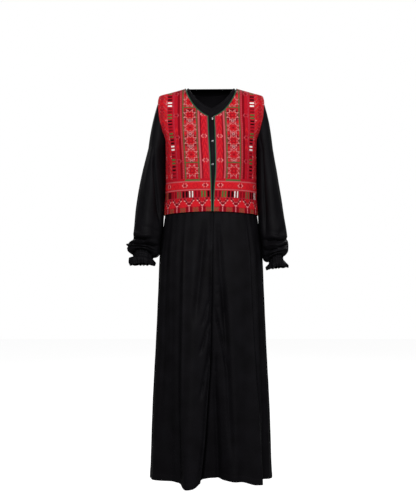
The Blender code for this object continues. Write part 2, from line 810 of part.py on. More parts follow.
def add_sleeves():
    for side in SLEEVES:
        sleeve, cuff, frill = sleeve_surfaces(side)
        add_tube(f"sleeve_{side}", sleeve, even(37, 0, 360), CAP_RUNS + TUBE_RUNS, side, CREPE)
        add_tube(f"cuff_{side}", cuff, even(2 * CUFF_GATHERS + 1, 0, 360), (0.0, 1.0), side, CREPE)
        waved = even(4 * FRILL_WAVES + 1, 0, 360)
        add_tube(f"cuff_frill_{side}", frill, waved, (0.0, 0.5, 1.0), side, CREPE)


def add_snaps():
    """Round metal snap caps on the right front's lap, seen between the waistcoat's edges."""
    for number, drop in enumerate(SNAP_DROPS, start=1):
        angle = angle_at(SNAP_X, drop)
        seat = moved_out_from(bodice_right, angle, drop, SEAM_GAP)
        outward = normal_of(bodice_right, angle, drop)
        work = bmesh.new()
        profile = ((1.0, 0.0), (1.0, 0.35), (0.82, 0.75), (0.45, 1.0))
        rings = []
        for wide, high in profile:
            ring = []
            for i in range(16):
                turn = 2 * math.pi * i / 16
                spot = (SNAP_RADIUS * wide * math.cos(turn), SNAP_RADIUS * wide * math.sin(turn), SNAP_HEIGHT * high)
                ring.append(work.verts.new(spot))
            rings.append(ring)
        for lower, upper in zip(rings, rings[1:]):
            for i in range(16):
                work.faces.new((lower[i], lower[(i + 1) % 16], upper[(i + 1) % 16], upper[i]))
        work.faces.new(reversed(rings[0]))
        work.faces.new(rings[-1])
        bmesh.ops.recalc_face_normals(work, faces=work.faces)
        mesh = bpy.data.meshes.new(f"snap_{number}")
        work.to_mesh(mesh)
        work.free()
        mesh.shade_smooth()
        mesh.set_sharp_from_angle(angle=math.radians(50))
        mesh.materials.append(bpy.data.materials["snap_metal"])
        cap = bpy.data.objects.new(f"snap_{number}", mesh)
        cap.location = seat
        cap.rotation_mode = "QUATERNION"
        cap.rotation_quaternion = outward.to_track_quat("Z", "Y")
        bpy.context.scene.collection.objects.link(cap)


def main():
    for thing in list(bpy.data.objects):
        bpy.data.objects.remove(thing)
    add_materials()
    add_bodice()
    add_vest()
    add_skirt()
    add_sleeves()
    add_neck_binding()
    add_snaps()


main()
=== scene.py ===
# A black crepe abaya with a short red cross-stitched waistcoat over its bodice, dressed over its CAD solids.
# Metres, +Z up, the wearer faces -Y. A drop is a distance below the neck points, as a pattern maker measures.
# Angles run round the body: 0 is the centre front, 90 the wearer's left side, 180 the centre back.
import json
import math

import bmesh
import bpy
import numpy as np
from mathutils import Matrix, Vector

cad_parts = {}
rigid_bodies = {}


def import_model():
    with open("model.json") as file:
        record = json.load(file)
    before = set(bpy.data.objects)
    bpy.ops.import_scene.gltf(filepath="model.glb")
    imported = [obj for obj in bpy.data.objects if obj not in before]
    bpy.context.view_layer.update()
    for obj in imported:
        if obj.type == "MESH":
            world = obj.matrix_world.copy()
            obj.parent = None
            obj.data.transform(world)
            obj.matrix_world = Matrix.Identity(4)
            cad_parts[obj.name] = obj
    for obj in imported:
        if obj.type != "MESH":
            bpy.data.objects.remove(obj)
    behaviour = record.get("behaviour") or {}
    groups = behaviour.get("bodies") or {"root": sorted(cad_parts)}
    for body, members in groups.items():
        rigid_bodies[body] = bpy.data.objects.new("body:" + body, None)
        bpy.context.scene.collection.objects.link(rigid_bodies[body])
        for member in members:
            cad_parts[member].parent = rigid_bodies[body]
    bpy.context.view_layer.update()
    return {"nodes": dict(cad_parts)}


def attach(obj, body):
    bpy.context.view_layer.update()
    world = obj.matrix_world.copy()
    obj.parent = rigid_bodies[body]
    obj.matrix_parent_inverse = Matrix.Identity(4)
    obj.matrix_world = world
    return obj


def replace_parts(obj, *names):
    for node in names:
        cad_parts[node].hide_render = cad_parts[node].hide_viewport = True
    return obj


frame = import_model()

for startObject in [o for o in bpy.data.objects if o.name in ("Cube", "Light", "Camera")]:
    bpy.data.objects.remove(startObject)
print("stage 1: frame loaded,", len(frame["nodes"]), "CAD nodes")


garment = {
    "length": 1.400,
    "waistDrop": 0.440,
    "neckHalfWidth": 0.080,
    "frontNeckDrop": 0.085,
    "backNeckDrop": 0.018,
    "neckPointed": 0.45,  # 0 a round neck, 1 a straight V
    "shoulderDrop": 0.031,
    "underarmDrop": 0.200,
    "crepe": 0.0011,  # thickness of the cloth as shown
    "seamGap": 0.0003,
    "underlap": 0.028,
    "lapRise": 0.0026,  # the right front lies this far above the left one
    "lapInside": 0.018,  # how far past the underlap's own edge it still holds up the right front
    "lapOutside": 0.006,
    "lapFade": 0.035,
    "armReachFront": 25,
    "armReachBack": 30,
    "armEaseOver": 0.3,  # a lowered underarm also widens the armhole, the less the larger this is
    "easedShoulderRise": 0.0012,
    "edgeRows": 60,
    "neckRows": 26,
    "sideShare": 0.55,  # share of a panel's rows that run down its side seam
    "panelColumns": 34,
    "unevenness": 0.0007,  # soft waviness of all the cloth
}

# Outer face of the crepe all round: a ring for each drop, squarer than an ellipse where square is above 2.
bodyForm = {
    "drop": (-0.012, 0.0, 0.010, 0.020, 0.031, 0.060, 0.100, 0.150, 0.200, 0.260, 0.330, 0.400, 0.440, 0.520,
             0.600, 0.700, 0.900, 1.150, 1.400),
    "halfWidth": (0.050, 0.080, 0.114, 0.149, 0.184, 0.191, 0.190, 0.178, 0.161, 0.160, 0.160, 0.162, 0.164,
                  0.175, 0.185, 0.189, 0.198, 0.211, 0.219),
    "front": (0.044, 0.046, 0.048, 0.051, 0.055, 0.063, 0.079, 0.100, 0.119, 0.130, 0.130, 0.127, 0.126,
              0.128, 0.131, 0.134, 0.141, 0.151, 0.160),
    "back": (0.042, 0.048, 0.053, 0.058, 0.063, 0.074, 0.085, 0.093, 0.096, 0.095, 0.090, 0.087, 0.088, 0.103,
             0.117, 0.125, 0.134, 0.146, 0.158),
    "square": (2.0, 2.0, 2.1, 2.2, 2.4, 2.8, 3.0, 2.9, 2.6, 2.5, 2.4, 2.4, 2.4, 2.3, 2.3, 2.3, 2.2, 2.2, 2.2),
}

openEdge = {  # where the right front's edge lies across the wearer's middle
    "drop": (0.080, 0.300, 0.430, 0.520, 0.650, 0.850, 0.980, 1.100, 1.220, 1.320, 1.400),
    "edgeX": (0.012, 0.012, 0.007, 0.005, 0.003, -0.001, -0.004, -0.012, -0.020, -0.029, -0.038),
}


def smoothCurve(xs, ys):
    # a curve through the points that never overshoots them
    xs, ys = np.array(xs, float), np.array(ys, float)
    widths = np.diff(xs)
    steps = np.diff(ys) / widths
    product = steps[:-1] * steps[1:]
    total = np.where(product > 0, steps[:-1] + steps[1:], 1.0)
    slopes = np.concatenate([steps[:1], np.where(product > 0, 2 * product / total, 0.0), steps[-1:]])

    def value(x):
        x = np.clip(x, xs[0], xs[-1])
        i = np.clip(np.searchsorted(xs, x, side="left") - 1, 0, len(xs) - 2)
        t = (x - xs[i]) / widths[i]
        low = (1 + 2 * t) * (1 - t) ** 2 * ys[i] + t * (1 - t) ** 2 * widths[i] * slopes[i]
        high = t * t * (3 - 2 * t) * ys[i + 1] + t * t * (t - 1) * widths[i] * slopes[i + 1]
        return low + high

    return value


def curvesOf(table):
    names = list(table)
    return {name: smoothCurve(table[names[0]], table[name]) for name in names[1:]}


def mix(a, b, share):
    return a + (b - a) * share


def ease(share):
    share = np.clip(share, 0.0, 1.0)
    return share * share * (3 - 2 * share)


form = curvesOf(bodyForm)
opening = curvesOf(openEdge)["edgeX"]


def formPoint(angle, drop):
    angle, drop = np.broadcast_arrays(np.asarray(angle, float), np.asarray(drop, float))
    sine, cosine = np.sin(np.radians(angle)), np.cos(np.radians(angle))
    power = form["square"](drop)
    reach = (np.abs(sine) ** power + np.abs(cosine) ** power) ** (-1 / power)
    depth = np.where(cosine > 0, form["front"](drop), form["back"](drop))
    return np.stack([form["halfWidth"](drop) * reach * sine, -depth * reach * cosine, -drop], -1)


def angleAt(x, drop):
    # the angle on the front half of a ring where it reaches x
    share = np.clip(np.asarray(x, float) / form["halfWidth"](drop), -1, 1)
    power = form["square"](drop)
    return np.degrees(np.arctan2(share, (1 - np.abs(share) ** power) ** (1 / power)))


def normalOf(surface, a, b, stepA=0.5, stepB=0.001):
    along = surface(a + stepA, b) - surface(a - stepA, b)
    down = surface(a, b + stepB) - surface(a, b - stepB)
    normal = np.cross(down, along)
    return normal / np.linalg.norm(normal, axis=-1, keepdims=True)


waviness = {
    "seed": 4,
    "waves": 6,
    "lengths": (0.06, 0.16),
    "alongDrop": 0.35,  # below 1 the crests run up and down more than round
    "phase": 6.28,
}


def unevenness(point):
    # soft waviness from a few sine waves through space, so that pieces which meet wave together
    rng = np.random.default_rng(waviness["seed"])
    total = 0.0
    for _ in range(waviness["waves"]):
        direction = rng.normal(size=3) * (1.0, 1.0, waviness["alongDrop"])
        length = rng.uniform(*waviness["lengths"])
        pull = 2 * math.pi / length / np.linalg.norm(direction)
        total = total + np.sin(point @ direction * pull + rng.uniform(0, waviness["phase"]))
    return total / waviness["waves"]


def lapShare(x, drop):
    # 1 where the right front lies over the left one, fading to 0 on both sides of it
    edge = opening(drop)
    under = edge - garment["underlap"] - garment["lapInside"] - x
    outside = np.maximum(under, x - edge - garment["lapOutside"])
    return 1 - ease(np.maximum(outside, 0.0) / garment["lapFade"])


def movedOut(angle, drop, distance):
    point = formPoint(angle, drop)
    distance = distance + garment["unevenness"] * unevenness(point)
    return point + normalOf(formPoint, angle, drop) * np.asarray(distance)[..., None]


def bodiceUnder(angle, drop):
    return movedOut(angle, drop, 0.0)


def bodiceOver(angle, drop):
    return movedOut(angle, drop, garment["lapRise"] * lapShare(formPoint(angle, drop)[..., 0], drop))


def creaseHeight(creases, turn, drop):
    # Long creases: where each starts and ends, how wide and deep it is, and how far its line wanders.
    total = np.zeros(np.broadcast(turn, drop).shape)
    for topTurn, bottomTurn, topDrop, bottomDrop, width, depth, wander in creases:
        along = (drop - topDrop) / (bottomDrop - topDrop)
        centre = mix(topTurn, bottomTurn, along) + wander * np.sin(7 * along + topTurn)
        off = (turn - centre + 180) % 360 - 180
        held = ease(along * 4) * ease((1 - along) * 4) * (along > 0) * (along < 1)
        total += depth * held * np.exp(-((off / width) ** 2))
    return total


def toLinear(code):
    # an sRGB hex colour as the linear colour that a shader takes
    parts = [int(code[i:i + 2], 16) / 255 for i in (1, 3, 5)]
    return tuple(c / 12.92 if c <= 0.04045 else ((c + 0.055) / 1.055) ** 2.4 for c in parts) + (1.0,)


def addNode(tree, kind, inputs=None, **settings):
    node = tree.nodes.new(kind)
    for name, value in settings.items():
        setattr(node, name, value)
    for name, value in (inputs or {}).items():
        if isinstance(value, bpy.types.NodeSocket):
            tree.links.new(value, node.inputs[name])
        else:
            node.inputs[name].default_value = value
    return node


def newMaterial(name):
    material = bpy.data.materials.new(name)
    material.use_nodes = True
    tree = material.node_tree
    tree.nodes.clear()
    output = addNode(tree, "ShaderNodeOutputMaterial")
    shader = addNode(tree, "ShaderNodeBsdfPrincipled")
    tree.links.new(shader.outputs["BSDF"], output.inputs["Surface"])
    return material, tree, shader


def calculate(tree, operation, *values):
    return addNode(tree, "ShaderNodeMath", dict(enumerate(values)), operation=operation).outputs[0]


def noise(tree, place, scale, detail, roughness=0.5):
    settings = {"Vector": place, "Scale": scale, "Detail": detail, "Roughness": roughness}
    return addNode(tree, "ShaderNodeTexNoise", settings).outputs["Fac"]


def mixColours(tree, share, low, high):
    settings = {"Factor": share, "A": toLinear(low), "B": toLinear(high)}
    return addNode(tree, "ShaderNodeMix", settings, data_type="RGBA").outputs["Result"]


def finishShader(tree, shader, colour, height, look):
    # look gives the bump's strength and depth in metres, and the plain values of the finish
    strength, depth = look["bump"]
    bump = addNode(tree, "ShaderNodeBump", {"Strength": strength, "Distance": depth, "Height": height})
    for name, value in look["finish"].items():
        shader.inputs[name].default_value = value
    tree.links.new(colour, shader.inputs["Base Color"])
    tree.links.new(bump.outputs["Normal"], shader.inputs["Normal"])


crepe = {
    "colour": "#0A090B",
    "lit": "#111013",  # where the yarn stands up
    "litSpan": (0.12, 0.40),
    "threadsPerMetre": 1400,  # yarns 0.7 mm apart, drawn about twice as coarse as real ones so that they show
    "weaveShare": 0.35,  # of the relief, beside the pebbled grain
    "pebbleScale": 700.0,
    "softScale": 16.0,
    "bump": (0.16, 0.0003),
    "finish": {"Roughness": 0.56, "Specular IOR Level": 0.042},
}


def makeCrepe():
    # Black polyester crepe: overtwisted yarn gives a dull, slightly pebbled face that drinks the light.
    material, tree, shader = newMaterial("blackPolyesterCrepe")
    uv = addNode(tree, "ShaderNodeUVMap", uv_map="cloth").outputs["UV"]
    pebble = noise(tree, uv, crepe["pebbleScale"], 2.0, 0.6)
    soft = noise(tree, uv, crepe["softScale"], 1.0)
    split = addNode(tree, "ShaderNodeSeparateXYZ", {"Vector": uv})
    threads = []
    for axis in ("X", "Y"):
        scaled = calculate(tree, "MULTIPLY", split.outputs[axis], crepe["threadsPerMetre"] * math.pi)
        threads.append(calculate(tree, "SINE", scaled))
    weave = calculate(tree, "MULTIPLY", *threads)
    relief = calculate(tree, "MULTIPLY_ADD", weave, crepe["weaveShare"], pebble)
    low, high = crepe["litSpan"]
    shade = {"Value": calculate(tree, "MULTIPLY", pebble, soft), "From Min": low, "From Max": high}
    span = addNode(tree, "ShaderNodeMapRange", shade).outputs["Result"]
    finishShader(tree, shader, mixColours(tree, span, crepe["colour"], crepe["lit"]), relief, crepe)
    return material


thread = {
    "stitch": 0.0020,  # side of one cross stitch
    "ridge": (0.30, 0.04),  # how far from a strand's middle it starts to rise and is at its top, in stitches
    "underStrand": 0.75,  # height of the strand that the other one crosses
    "twistShare": 0.25,
    "twistScale": 1300.0,
    "brightness": (0.62, 1.06),  # painted shade in the pits and a faint painted highlight on the strands
    "inside": 0.55,  # brightness of the wrong side
    "rim": 0.8,
    "spread": 0.07,  # how much the stitches of one thread differ
    "bump": (0.7, 0.0005),
    "finish": {"Roughness": 0.6, "Specular IOR Level": 0.05},
    "colours": {
        "red": "#BE1426",
        "bright": "#DA1E29",
        "dark": "#860918",
        "deep": "#6B0A22",
        "rose": "#B42C3E",
        "pink": "#CC5A60",
        "pale": "#EFAEAB",
        "white": "#FFF4EF",
        "olive": "#67583A",
        "green": "#4F6E36",
        "black": "#1B060B",
    },
}


def makeThread():
    # Pearl cotton in cross stitch on an even-weave ground: two twisted strands cross in each square and
    # stand up from it, so that the face is matt and pebbled; painted shade darkens the pit at each corner.
    material, tree, shader = newMaterial("pearlCottonCrossStitch")
    uv = addNode(tree, "ShaderNodeUVMap", uv_map="cloth").outputs["UV"]
    colour = addNode(tree, "ShaderNodeAttribute", attribute_name="threadColour").outputs["Color"]
    split = addNode(tree, "ShaderNodeSeparateXYZ", {"Vector": uv})
    parts = []
    for axis in ("X", "Y"):
        counted = calculate(tree, "MULTIPLY", split.outputs[axis], 1 / thread["stitch"])
        parts.append(calculate(tree, "FRACT", counted))
    foot, top = thread["ridge"]
    ridges = []
    for operation, shift in (("SUBTRACT", 0.0), ("ADD", -1.0)):
        line = calculate(tree, "ADD", calculate(tree, operation, *parts), shift)
        away = {"Value": calculate(tree, "ABSOLUTE", line), "From Min": foot, "From Max": top}
        ridge = addNode(tree, "ShaderNodeMapRange", away, interpolation_type="SMOOTHSTEP")
        ridges.append(ridge.outputs["Result"])
    under = calculate(tree, "MULTIPLY", ridges[0], thread["underStrand"])
    cross = calculate(tree, "MAXIMUM", under, ridges[1])
    twist = noise(tree, uv, thread["twistScale"], 1.0)
    height = calculate(tree, "MULTIPLY_ADD", twist, thread["twistShare"], cross)
    # painted shade and highlight: the thread's colour is darkened in the pits between strands and lightened a
    # little on their tops
    pit, strand = thread["brightness"]
    span = addNode(tree, "ShaderNodeMapRange", {"Value": cross, "To Min": pit, "To Max": strand})
    shade = {0: colour, 1: span.outputs["Result"]}
    shaded = addNode(tree, "ShaderNodeVectorMath", shade, operation="MULTIPLY").outputs[0]
    finishShader(tree, shader, shaded, height, thread)
    return material


def makePlainFinish(name, look):
    # A finish of one colour, worn and given a painted highlight on its raised grain by a fine noise on its
    # coordinates.
    material, tree, shader = newMaterial(name)
    place = addNode(tree, "ShaderNodeTexCoord").outputs["Object"]
    grain = noise(tree, place, look["scale"], 2.0)
    finishShader(tree, shader, mixColours(tree, grain, look["low"], look["high"]), grain, look)
    return material


blackCrepe = makeCrepe()
crossStitch = makeThread()
# Polyester satin cut on the bias: smooth, so that it shines softly along its roll.
greenSatin = makePlainFinish("greenSatinBinding", {
    "scale": 900.0, "bump": (0.3, 0.0002), "low": "#14422E", "high": "#24593E",
    "finish": {"Roughness": 0.5, "Specular IOR Level": 0.22},
})
# Spun polyester sewing thread, black on the crepe.
blackThread = makePlainFinish("blackSewingThread", {
    "scale": 2500.0, "bump": (0.3, 0.0001), "low": "#0B0A0C", "high": "#1B1A1E",
    "finish": {"Roughness": 0.6, "Specular IOR Level": 0.25},
})
# The same thread in green, to match the binding.
greenThread = makePlainFinish("greenSewingThread", {
    "scale": 2500.0, "bump": (0.3, 0.0001), "low": "#123A29", "high": "#1E5038",
    "finish": {"Roughness": 0.55, "Specular IOR Level": 0.3},
})
# Nickel-plated brass, polished: bright, with the faintest haze from handling.
nickel = makePlainFinish("polishedNickelPlate", {
    "scale": 1200.0, "bump": (0.05, 0.00005), "low": "#737376", "high": "#929292",
    "finish": {"Roughness": 0.24, "Metallic": 1.0},
})
print("stage 2: materials made")


def gridNormals(points, wrap):
    if wrap:
        along = np.roll(points, -1, 1) - np.roll(points, 1, 1)
    else:
        along = np.gradient(points, axis=1)
    normal = np.cross(np.gradient(points, axis=0), along)
    return normal / np.maximum(np.linalg.norm(normal, axis=-1, keepdims=True), 1e-12)


def finishMesh(mesh, material, sharpDegrees=60):
    mesh.shade_smooth()
    mesh.set_sharp_from_angle(angle=math.radians(sharpDegrees))
    mesh.materials.append(material)


def addShell(name, node, points, uv, thickness, material, slot, wrap=False, flip=False, keep=None,
             colours=None):
    # A grid of points on the outer face, rows going down and columns with the angle, given its thickness
    # and closed round its edges. uv is in metres along the cloth. keep says which squares are cut out.
    rows, columns = points.shape[:2]
    inner = points - gridNormals(points, wrap) * (-1 if flip else 1) * thickness
    index = np.arange(rows * columns).reshape(rows, columns)
    nextColumn = np.roll(index, -1, 1) if wrap else index[:, 1:]
    column = index if wrap else index[:, :-1]
    quads = np.stack([column[:-1], column[1:], nextColumn[1:], nextColumn[:-1]], -1).reshape(-1, 4)
    corners = np.stack([uv[:-1, :-1], uv[1:, :-1], uv[1:, 1:], uv[:-1, 1:]], 2).reshape(-1, 4, 2)
    kept = np.ones(len(quads), bool) if keep is None else keep.reshape(-1)
    quads, corners = quads[kept], corners[kept]
    if flip:
        quads, corners = quads[:, ::-1], corners[:, ::-1]
    count = rows * columns
    starts, ends = quads.reshape(-1), np.roll(quads, -1, 1).reshape(-1)
    edge = ~np.isin(starts * count + ends, ends * count + starts)
    startUv, endUv = corners.reshape(-1, 2), np.roll(corners, -1, 1).reshape(-1, 2)
    rim = np.stack([ends, starts, starts + count, ends + count], -1)[edge]
    rimUv = np.stack([endUv, startUv, startUv, endUv], 1)[edge]
    faces = np.concatenate([quads, quads[:, ::-1] + count, rim])
    faceUv = np.concatenate([corners, corners[:, ::-1], rimUv])
    used, faces = np.unique(faces, return_inverse=True)
    places = np.concatenate([points.reshape(-1, 3), inner.reshape(-1, 3)])[used]
    mesh = bpy.data.meshes.new(name)
    mesh.from_pydata(places.tolist(), [], faces.reshape(-1, 4).tolist())
    layer = mesh.uv_layers.new(name="cloth")
    layer.data.foreach_set("uv", faceUv.reshape(-1).astype(np.float32))
    if colours is not None:
        chosen = colours.reshape(-1, 4)[kept]
        owner = np.nonzero(edge)[0] // 4
        perFace = np.concatenate([chosen, chosen * thread["inside"], chosen[owner] * thread["rim"]])
        attribute = mesh.color_attributes.new(name="threadColour", type="FLOAT_COLOR", domain="CORNER")
        attribute.data.foreach_set("color", np.repeat(perFace, 4, 0).reshape(-1).astype(np.float32))
    finishMesh(mesh, material)
    piece = addPiece(name, mesh)
    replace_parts(piece, node)


def link(name, data):
    thing = bpy.data.objects.new(name, data)
    bpy.context.scene.collection.objects.link(thing)
    return thing


def addPiece(name, mesh):
    piece = link(name, mesh)
    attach(piece, "root")
    return piece


def clothUv(points):
    # Distances along the cloth, across and down, from the middle column and the top row.
    across = np.linalg.norm(np.diff(points, axis=1), axis=-1)
    across = np.concatenate([np.zeros((points.shape[0], 1)), np.cumsum(across, 1)], 1)
    across -= across[:, across.shape[1] // 2][:, None]
    down = np.linalg.norm(np.diff(points, axis=0), axis=-1)
    down = np.concatenate([np.zeros((1, points.shape[1])), np.cumsum(down, 0)], 0)
    return np.stack([across, down], -1)


def runLength(path):
    # how far along a line of points each one lies
    return np.concatenate([[0], np.cumsum(np.linalg.norm(np.diff(path, axis=0), axis=-1))])


def ringMesh(name, rings, material, sharpDegrees, along=None):
    # Joins rings of points into one closed skin. along gives each ring's place for the cloth coordinates.
    work = bmesh.new()
    verts = [[work.verts.new(tuple(p)) for p in ring] for ring in rings]
    sides = len(verts[0])
    layer = None if along is None else work.loops.layers.uv.new("cloth")
    for i in range(len(verts) - 1):
        for j in range(sides):
            k = (j + 1) % sides
            face = work.faces.new((verts[i][j], verts[i][k], verts[i + 1][k], verts[i + 1][j]))
            if layer is not None:
                for loop, (a, b) in zip(face.loops, ((i, j), (i, j + 1), (i + 1, j + 1), (i + 1, j))):
                    loop[layer].uv = (b * 0.001, along[a])
    work.faces.new(verts[0][::-1])
    work.faces.new(verts[-1])
    bmesh.ops.recalc_face_normals(work, faces=work.faces)
    mesh = bpy.data.meshes.new(name)
    work.to_mesh(mesh)
    work.free()
    finishMesh(mesh, material, sharpDegrees)
    return mesh


def sweep(name, node, path, inward, outward, profile, material):
    # A closed profile carried along a path: each profile point is (towards the cloth, above it).
    across, above = np.array(profile).T[:, None, :, None]
    rings = path[:, None, :] + inward[:, None, :] * across + outward[:, None, :] * above
    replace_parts(addPiece(name, ringMesh(name, rings, material, 60, runLength(path))), node)


def seamAngle(drop, back):
    depth = form["back"](drop) if back else form["front"](drop)
    short = np.degrees(garment["seamGap"] / 2 / depth)
    return 90 + short if back else 90 - short


def armholeAt(turn, back, easeOut=0.0):
    # Turn 0 is the shoulder point and 180 the underarm. easeOut lowers the underarm.
    turn = np.asarray(turn, float)
    reach = garment["armReachBack"] if back else -garment["armReachFront"]
    reach = reach * (1 + easeOut / garment["armEaseOver"])
    top = garment["shoulderDrop"] - garment["easedShoulderRise"] * (easeOut > 0)
    bottom = garment["underarmDrop"] + easeOut
    drop = (bottom + top) / 2 - (bottom - top) / 2 * np.cos(np.radians(turn))
    return seamAngle(drop, back) + reach * np.sin(np.radians(turn)), drop


def neckPointDrop(halfWidth):
    drops = np.linspace(0.0, garment["shoulderDrop"], 400)
    return float(np.interp(halfWidth, form["halfWidth"](drops), drops))


def necklineOf(cut, count):
    # From the centre edge up to the shoulder seam, as (angle, drop).
    turn = np.radians(np.linspace(0, 90, count))
    start = 0.0 if cut["back"] else cut["centreX"](cut["neckDrop"])
    straight = (np.sin(turn) + 1 - np.cos(turn)) / 2
    pointed = 0.0 if cut["back"] else garment["neckPointed"]
    x = mix(start, cut["neckHalfWidth"], mix(np.sin(turn), straight, pointed))
    climbed = mix(1 - np.cos(turn), straight, pointed)
    drop = mix(cut["neckDrop"], neckPointDrop(cut["neckHalfWidth"]), climbed)
    angle = angleAt(x, drop)
    angle[-1] = seamAngle(drop[-1], False)
    return (180.0 - angle if cut["back"] else angle), drop


def centreEdgeOf(cut, count, low):
    drop = np.linspace(low, cut["neckDrop"], count)
    angle = np.full(count, 180.0) if cut["back"] else angleAt(cut["centreX"](drop), drop)
    return angle, drop


def panelCuts(frontDrop, backDrop, halfWidth, easeOut, leftX, rightX):
    # Every half panel is drawn on the wearer's left, so rightX gives the right front's edge mirrored.
    shared = {"neckHalfWidth": halfWidth, "easeOut": easeOut}
    return {
        "left": {"back": False, "neckDrop": frontDrop, "centreX": leftX, **shared},
        "right": {"back": False, "neckDrop": frontDrop, "centreX": rightX, **shared},
        "back": {"back": True, "neckDrop": backDrop, "centreX": None, **shared},
    }


bodiceCuts = panelCuts(garment["frontNeckDrop"], garment["backNeckDrop"], garment["neckHalfWidth"], 0.0,
                       lambda drop: opening(drop) - garment["underlap"], lambda drop: -opening(drop))


def panelParams(cut, low):
    # Half a panel drawn on the wearer's left, from the neck and shoulder down to the waist.
    edgeAngle, edgeDrop = centreEdgeOf(cut, garment["edgeRows"], low)
    neckAngle, neckDrop = necklineOf(cut, garment["neckRows"])
    innerAngle, innerDrop = np.append(edgeAngle, neckAngle[1:]), np.append(edgeDrop, neckDrop[1:])
    total = len(innerAngle)
    side = int(total * garment["sideShare"])
    sideDrop = np.linspace(low, garment["underarmDrop"] + cut["easeOut"], side)
    armTurn = 180 * (1 - np.linspace(0, 1, total - side + 1))
    armAngle, armDrop = armholeAt(armTurn, cut["back"], cut["easeOut"])
    outerAngle = np.append(seamAngle(sideDrop, cut["back"]), armAngle[1:])
    outerDrop = np.append(sideDrop, armDrop[1:])
    share = np.linspace(0, 1, garment["panelColumns"])[None, :]
    angle = mix(innerAngle[:, None], outerAngle[:, None], share)
    drop = mix(innerDrop[:, None], outerDrop[:, None], share)
    return angle[::-1], drop[::-1]


crepeLook = (blackCrepe, "black_crepe")


def wholeBack(half, other=None, skip=1):
    # Half a back panel's grid with its other half beyond the centre, which is the same unless it is given.
    return np.concatenate([half[:, ::-1], (half if other is None else other)[:, skip:]], 1)


def panelNames(title, node, side):
    if side == "back":
        return title + "Back", node + "_back"
    return title + "Front" + side.capitalize(), node + "_front_" + side


def addBodice():
    for side, cut in bodiceCuts.items():
        angle, drop = panelParams(cut, garment["waistDrop"])
        if side == "right":
            angle, drop = -angle[:, ::-1], drop[:, ::-1]
        if side == "back":
            angle, drop = wholeBack(angle, 360 - angle), wholeBack(drop)
        points = (bodiceOver if side == "right" else bodiceUnder)(angle, drop)
        name, node = panelNames("bodice", "bodice", side)
        addShell(name, node, points, clothUv(points), garment["crepe"], *crepeLook)


addBodice()
print("stage 3: bodice")


